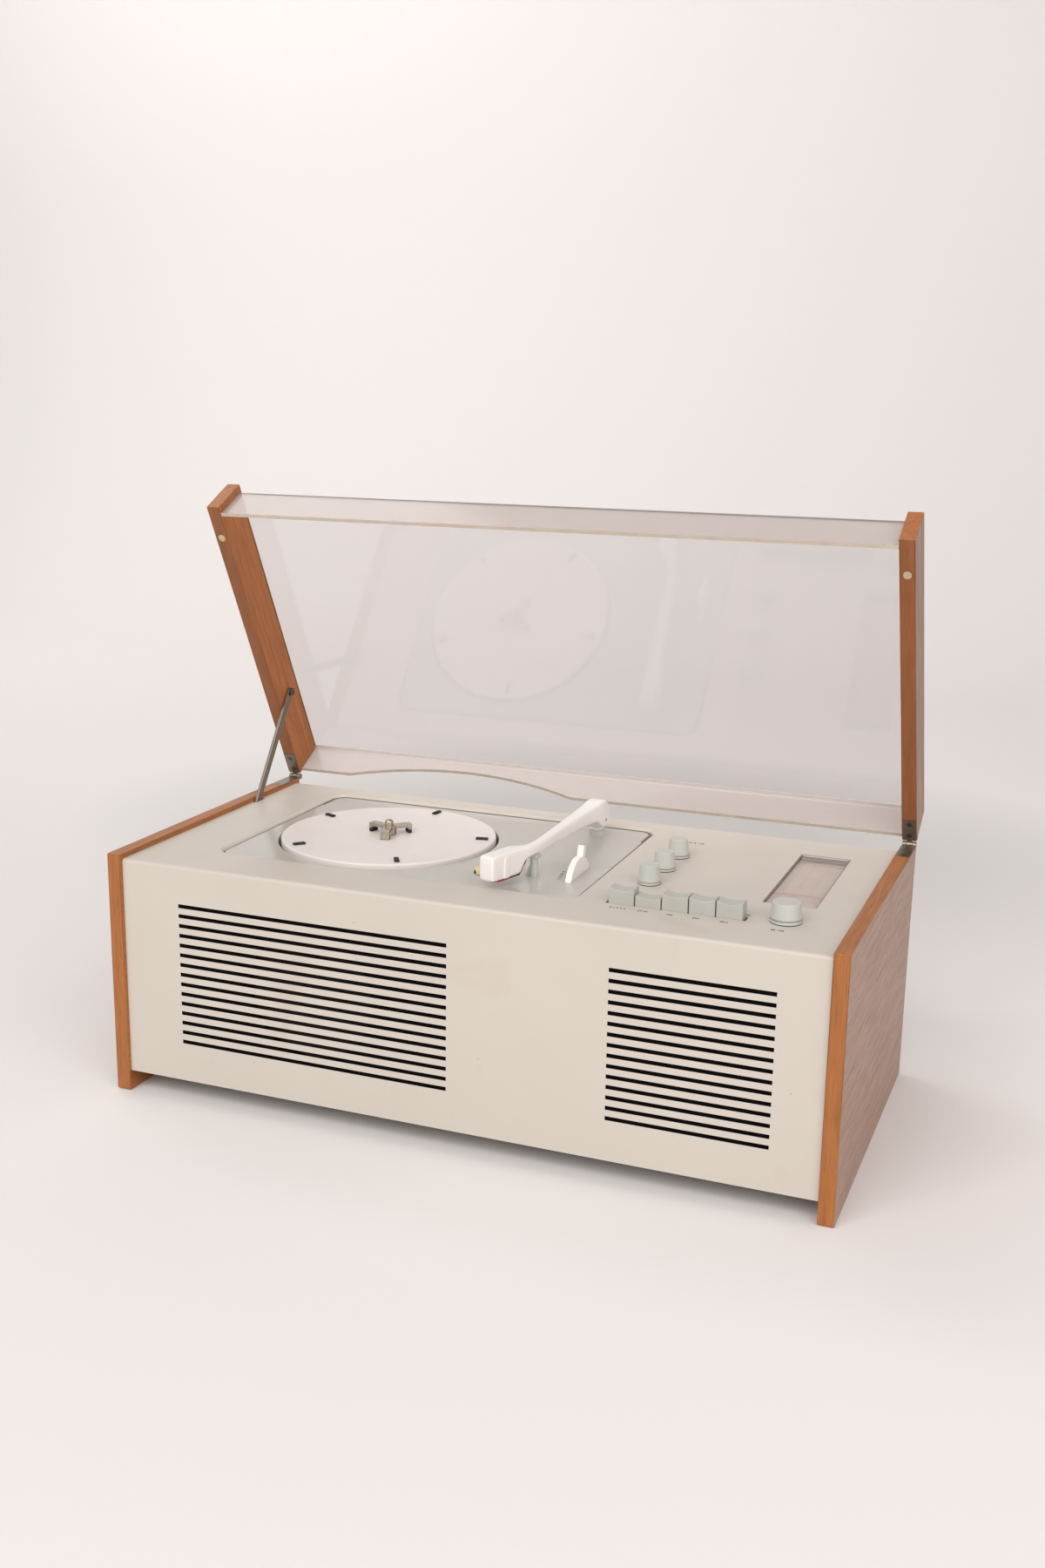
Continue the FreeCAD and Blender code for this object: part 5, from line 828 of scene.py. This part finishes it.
# %% [markdown]
# Under each of the four knobs of the cabinet lies a thin dark disc of painted shade, which draws the
# dark line of shadow in the gap under the knob. A dark ring could be painted on the cabinet, but a thin
# disc also looks right from a low angle. A disc turns with its knob, so it rides on the knob's own body.

# %% Painted shade under the knobs
CABINET_TOP, SHADE_DISC_DEPTH, SHADE_DISC_GAP, SHADE_DISC_INSET, SHADE_DISC_SIDES = 195.0, 0.36, 0.02, 0.3, 48


def shade_disc(node):
    """A dark disc in the gap under a knob: painted shade for the shadow there."""
    low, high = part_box(node)
    radius = (high.x - low.x) / 2 - SHADE_DISC_INSET * MM
    shape = bmesh.new()
    bmesh.ops.create_cone(shape, cap_ends=True, segments=SHADE_DISC_SIDES, radius1=radius, radius2=radius,
                          depth=SHADE_DISC_DEPTH * MM)
    piece = mesh_piece(node + "_shade_disc", shape)
    level = (CABINET_TOP + SHADE_DISC_GAP + SHADE_DISC_DEPTH / 2) * MM
    middle = Vector(((low.x + high.x) / 2, (low.y + high.y) / 2, level))
    piece.data.transform(Matrix.Translation(middle))
    return place_piece(piece, "rubber", body_of(node))


# Each knob gets a thin dark disc under it as painted shade.
shade_discs = [shade_disc(node) for node in ("volume_knob", "bass_knob", "treble_knob", "tuning_knob")]
print("washers:", len(shade_discs))

# %% [markdown]
# The five keys stand in one slot. Each is a cap with a hollow across its top for the finger, and with
# softly rounded edges that catch the light.
# The outline of the cap is drawn from the front, hollow included, and then given its depth.
# Rounding clean quads like these gives a smoother edge than rounding the triangles of a CAD mesh.

# %% Keys
KEY_HOLLOW, KEY_LIP, KEY_SKIRT, KEY_ROUND, STEM_DEPTH = 1.7, 0.8, 16, 0.55, 4
KEY_COUNT, HOLLOW_STEPS, KEY_SHARP = 5, 7, math.radians(40)


def key_outline(half, top, foot):
    """The front view of a key cap, with a hollow along its top."""
    reach = half - KEY_LIP * MM
    outline = [(-half, foot), (half, foot), (half, top)]
    for step in range(2 * HOLLOW_STEPS + 1):
        x = reach * (1 - step / HOLLOW_STEPS)
        outline.append((x, top - KEY_HOLLOW * MM * (1 - (x / reach) ** 2)))
    return outline + [(-half, top)]


def key_cap(number):
    """A key cap with a hollow top, on its stem."""
    node = f"key_{number}"
    low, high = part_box(node)
    middle, half = (low.x + high.x) / 2, (high.x - low.x) / 2
    foot = high.z - KEY_SKIRT * MM
    outline = key_outline(half, high.z, foot)
    shape = bmesh.new()
    front = [shape.verts.new((middle + x, low.y, z)) for x, z in outline]
    rear = [shape.verts.new((middle + x, high.y, z)) for x, z in outline]
    shape.faces.new(front)
    shape.faces.new(rear[::-1])
    for index in range(len(outline)):
        after = (index + 1) % len(outline)
        shape.faces.new((front[after], front[index], rear[index], rear[after]))
    bmesh.ops.recalc_face_normals(shape, faces=shape.faces)
    sharp = [edge for edge in shape.edges if edge.calc_face_angle(0) > KEY_SHARP]
    bmesh.ops.bevel(shape, geom=sharp, offset=KEY_ROUND * MM, segments=3, affect="EDGES", profile=0.5,
                    clamp_overlap=True)
    for vertex in bmesh.ops.create_cube(shape, size=1)["verts"]:
        vertex.co = Vector((middle + vertex.co.x * half,
                            (low.y + high.y) / 2 + vertex.co.y * STEM_DEPTH * MM,
                            low.z + (vertex.co.z + 0.5) * (foot + MM - low.z)))
    for face in shape.faces:
        face.smooth = True
    piece = place_piece(mesh_piece(node + "_cap", shape), "key_plastic", body_of(node))
    piece.modifiers.new("even_shading", "WEIGHTED_NORMAL")
    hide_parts(node)
    return piece


keys = [key_cap(number) for number in range(1, KEY_COUNT + 1)]
print("keys:", len(keys))

# %% [markdown]
# A dark ring of painted shade lies in the gap around the deck plate and makes the fine dark line of
# shadow along its edge. It is a flat ring that follows the plate's rounded outline, and lies half a
# millimetre deeper at the front.

# %% Painted shade in the deck gap
DECK_CORNER, CORNER_STEPS = 12, 8
GAP_SHADE_INNER, GAP_SHADE_OUTER, GAP_SHADE_LOW, GAP_SHADE_HIGH = -2.2, 0.7, 192.9, 193.06
GAP_SHADE_FRONT, GAP_SHADE_DROP = 15, 0.5


def rounded_outline(low, high, offset):
    """Points round the deck plate, moved outward by an offset. Millimetres."""
    points = []
    bend = DECK_CORNER + offset
    for corner_x, corner_y, start in ((high.x, high.y, 0), (low.x, high.y, 90),
                                      (low.x, low.y, 180), (high.x, low.y, 270)):
        centre_x = corner_x - math.copysign(DECK_CORNER, corner_x - (low.x + high.x) / 2)
        centre_y = corner_y - math.copysign(DECK_CORNER, corner_y - (low.y + high.y) / 2)
        for step in range(CORNER_STEPS + 1):
            angle = math.radians(start + 90 * step / CORNER_STEPS)
            points.append((centre_x + bend * math.cos(angle), centre_y + bend * math.sin(angle)))
    return points


def deck_gap_shade():
    """A flat dark ring in the gap between the deck plate and the cabinet, painted shade for the shadow
    there.
    """
    low, high = (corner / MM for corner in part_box("deck_plate"))
    shape = bmesh.new()
    rows = []
    for offset, height in ((GAP_SHADE_INNER, GAP_SHADE_LOW), (GAP_SHADE_OUTER, GAP_SHADE_LOW),
                           (GAP_SHADE_OUTER, GAP_SHADE_HIGH), (GAP_SHADE_INNER, GAP_SHADE_HIGH)):
        row = []
        for x, y in rounded_outline(low, high, offset):
            level = height if y > low.y + GAP_SHADE_FRONT else height - GAP_SHADE_DROP
            row.append(shape.verts.new((x * MM, y * MM, level * MM)))
        rows.append(row)
    for first, second in zip(rows, rows[1:] + rows[:1]):
        for index in range(len(first)):
            after = (index + 1) % len(first)
            shape.faces.new((first[index], first[after], second[after], second[index]))
    bmesh.ops.recalc_face_normals(shape, faces=shape.faces)
    return place_piece(mesh_piece("deck_gap_shade", shape), "gap_shade_dark", "cabinet")


# The dark ring round the deck plate is painted shade.
gap_shade_ring = deck_gap_shade()
print("seal faces:", len(gap_shade_ring.data.polygons))

# %% [markdown]
# A fin stiffens the post on which the arm rests, and each arm of the record adapter stands on a
# rubber foot. Both are plain blocks, so the helper that made the parts of the head serves here too.

# %% Arm rest fin and adapter feet
FIN_LEVELS, FIN_RIGHT, FIN_HALF, FIN_EDGE = ((193.0, -6.5), (206.0, -1.5)), 2.0, 1.2, 0.3
ADAPTER_ARMS, ADAPTER_TURN = 3, -75
FOOT_LEVELS, FOOT_START, FOOT_END, FOOT_HALF, FOOT_EDGE = (196.45, 199.7), 15.6, 18.6, 3.78, 0.2


def middle_of(node):
    """The middle of a node seen from above, in millimetres."""
    low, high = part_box(node)
    return (low.x + high.x) / 2 / MM, (low.y + high.y) / 2 / MM


rest_x, rest_y = middle_of("arm_rest")
fin_corners = [Vector((rest_x + x, rest_y + y, z)) * MM for z, left in FIN_LEVELS
               for x, y in ((left, -FIN_HALF), (FIN_RIGHT, -FIN_HALF),
                            (FIN_RIGHT, FIN_HALF), (left, FIN_HALF))]
rounded_box("arm_rest_fin", fin_corners, FIN_EDGE, "rest_plastic", "cabinet")
adapter_x, adapter_y = middle_of("spindle")
for number in range(ADAPTER_ARMS):
    aim = math.radians(ADAPTER_TURN + 360 * number / ADAPTER_ARMS)
    along = Vector((math.cos(aim), math.sin(aim), 0))
    aside = Vector((-math.sin(aim), math.cos(aim), 0))
    foot_corners = [(Vector((adapter_x, adapter_y, z)) + along * reach + aside * half) * MM
                    for z in FOOT_LEVELS
                    for reach, half in ((FOOT_START, -FOOT_HALF), (FOOT_END, -FOOT_HALF),
                                        (FOOT_END, FOOT_HALF), (FOOT_START, FOOT_HALF))]
    rounded_box(f"adapter_foot_{number + 1}", foot_corners, FOOT_EDGE, "rubber", "adapter")
print("fin and feet:", 1 + ADAPTER_ARMS)

# %% [markdown]
# Small plain figures are printed on the cabinet: some at each key, a row by the rear knob and a row in
# front of the tuning knob. The four record speeds stand beside the lever.
# Text made with the built-in font is turned into a thin mesh and laid just above the surface.

# %% Printed figures
BODY_TOP, DECK_TOP, SCALE_TOP = 195.03, 193.03, 190.35
KEY_ROW, KEY_SIZE, SPEED_SIZE, STROKE, INK_DEPTH = -118.4, 3.4, 3.2, 0.09, 0.01
KEY_PRINTS = (("0 1 2 3 4", 115.1), ("33 45", 133.9), ("150", 153.8), ("520", 173.5), ("88.5", 193.9))
SPEED_PRINTS = (("16", 49.6, -62.6), ("33", 48.6, -56.4), ("45", 47.6, -50.2), ("78", 46.6, -44.0))
FIGURES = {f"key_figure_{number}": (text, (x, KEY_ROW, BODY_TOP), KEY_SIZE)
           for number, (text, x) in enumerate(KEY_PRINTS, 1)}
FIGURES["knob_figures"] = ("0 5 10", (121.0, 72.0, BODY_TOP), 5.0)
FIGURES["tuning_figures"] = ("88 108", (232.7, -121.0, BODY_TOP), KEY_SIZE)
FIGURES.update({f"speed_figure_{number}": (text, (x, y, DECK_TOP), SPEED_SIZE)
                for number, (text, x, y) in enumerate(SPEED_PRINTS, 1)})


def printed(name, text, place, height, stroke, finish):
    """Flat figures on a surface that faces up. Millimetres. The stroke is added to the outline."""
    letters = bpy.data.curves.new(name, "FONT")
    letters.body = text
    letters.size = height * MM
    letters.align_x = "CENTER"
    letters.extrude = INK_DEPTH * MM
    letters.offset = stroke * MM
    piece = piece_from_curve(name, letters)
    piece.data.transform(Matrix.Translation(Vector(place) * MM))
    place_piece(piece, finish, "cabinet")


for name, (text, place, height) in FIGURES.items():
    printed(name, text, place, height, STROKE, "print_ink")
print("printed figures:", len(FIGURES))

# %% [markdown]
# Painted shade lines the dial window: a grey band under its rear end stands for the shade of the far
# wall of the recess, and a fine dark line round the opening above it for the shade at its edges.
# Both, and the rules of the scale, are thin flat boxes at one height, so one helper makes them.

# %% Painted shade of the dial window
PANE_LIP, EDGE_SHADE_WIDTH, EDGE_SHADE_DROP, REAR_SHADE_REACH, REAR_SHADE_GAP = 2.5, 0.6, 0.15, 9, 0.05
BOX_DEPTH = 0.04


def flat_boxes(name, bars, height, finish):
    """Thin flat boxes at one height, as one mesh. Each bar is x, y to x, y in millimetres."""
    shape = bmesh.new()
    for x0, y0, x1, y1 in bars:
        for vertex in bmesh.ops.create_cube(shape, size=1)["verts"]:
            vertex.co = Vector(((x0 + x1) / 2 + vertex.co.x * (x1 - x0),
                                (y0 + y1) / 2 + vertex.co.y * (y1 - y0),
                                height + vertex.co.z * BOX_DEPTH)) * MM
    return place_piece(mesh_piece(name, shape), finish, "cabinet")


pane_low, pane_high = (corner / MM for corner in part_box("dial_window"))
left, right_side = pane_low.x + PANE_LIP, pane_high.x - PANE_LIP
front, rear = pane_low.y + PANE_LIP, pane_high.y - PANE_LIP
# Both pieces below are painted shade: a grey band under the rear end of the pane, and a thin dark line
# round the opening.
flat_boxes("pane_rear_shade", [(left, rear - REAR_SHADE_REACH, right_side, pane_high.y)],
           pane_low.z - REAR_SHADE_GAP, "dial_edge_shade")
edge_shade_boxes = flat_boxes("pane_edge_shade", [
    (left, front, left + EDGE_SHADE_WIDTH, rear), (right_side - EDGE_SHADE_WIDTH, front, right_side, rear),
    (left + EDGE_SHADE_WIDTH, front, right_side - EDGE_SHADE_WIDTH, front + EDGE_SHADE_WIDTH),
    (left + EDGE_SHADE_WIDTH, rear - EDGE_SHADE_WIDTH, right_side - EDGE_SHADE_WIDTH, rear)], BODY_TOP - EDGE_SHADE_DROP, "dial_edge_shade")
print("rim faces:", len(edge_shade_boxes.data.polygons))

# %% [markdown]
# Under the window lies the tuning scale: long rules from front to back with a ladder of short marks
# beside each, and numbers at every fourth mark. A picture could be laid on instead, but boxes stay
# sharp from close by. The pointer slides between the scale and the pane.

# %% Tuning scale
RULE_SHARES, RULE_HALF, RULE_FRONT, RULE_REAR = (0.16, 0.38, 0.62, 0.84), 0.2, 10, 16
MARK_COUNT, MARK_HALF, LONG_MARK, SHORT_MARK, LONG_EVERY = 24, 0.15, 3.0, 1.6, 4
LADDER_START, LADDER_SPARE = 12, 32
NUMBER_SHARE, NUMBER_DROP, NUMBER_SIZE, NUMBER_FIRST, NUMBER_STEP = 0.52, 1.2, 3.0, 90, 4
pane_width, pane_length = pane_high.x - pane_low.x, pane_high.y - pane_low.y


def mark_place(step):
    """How far back a mark of the ladder lies."""
    return pane_low.y + LADDER_START + step * (pane_length - LADDER_SPARE) / (MARK_COUNT - 1)


bars = []
for share in RULE_SHARES:
    x = pane_low.x + pane_width * share
    bars.append((x - RULE_HALF, pane_low.y + RULE_FRONT, x + RULE_HALF, pane_high.y - RULE_REAR))
    for step in range(MARK_COUNT):
        reach = SHORT_MARK if step % LONG_EVERY else LONG_MARK
        bars.append((x, mark_place(step) - MARK_HALF, x + reach, mark_place(step) + MARK_HALF))
for count, step in enumerate(range(0, MARK_COUNT, LONG_EVERY)):
    place = (pane_low.x + NUMBER_SHARE * pane_width, mark_place(step) - NUMBER_DROP, SCALE_TOP)
    text = str(NUMBER_FIRST + NUMBER_STEP * count)
    printed(f"scale_number_{count + 1}", text, place, NUMBER_SIZE, 0.0, "scale_ink")
flat_boxes("scale_rules", bars, SCALE_TOP, "scale_ink")
print("rules and marks of the scale:", len(bars))
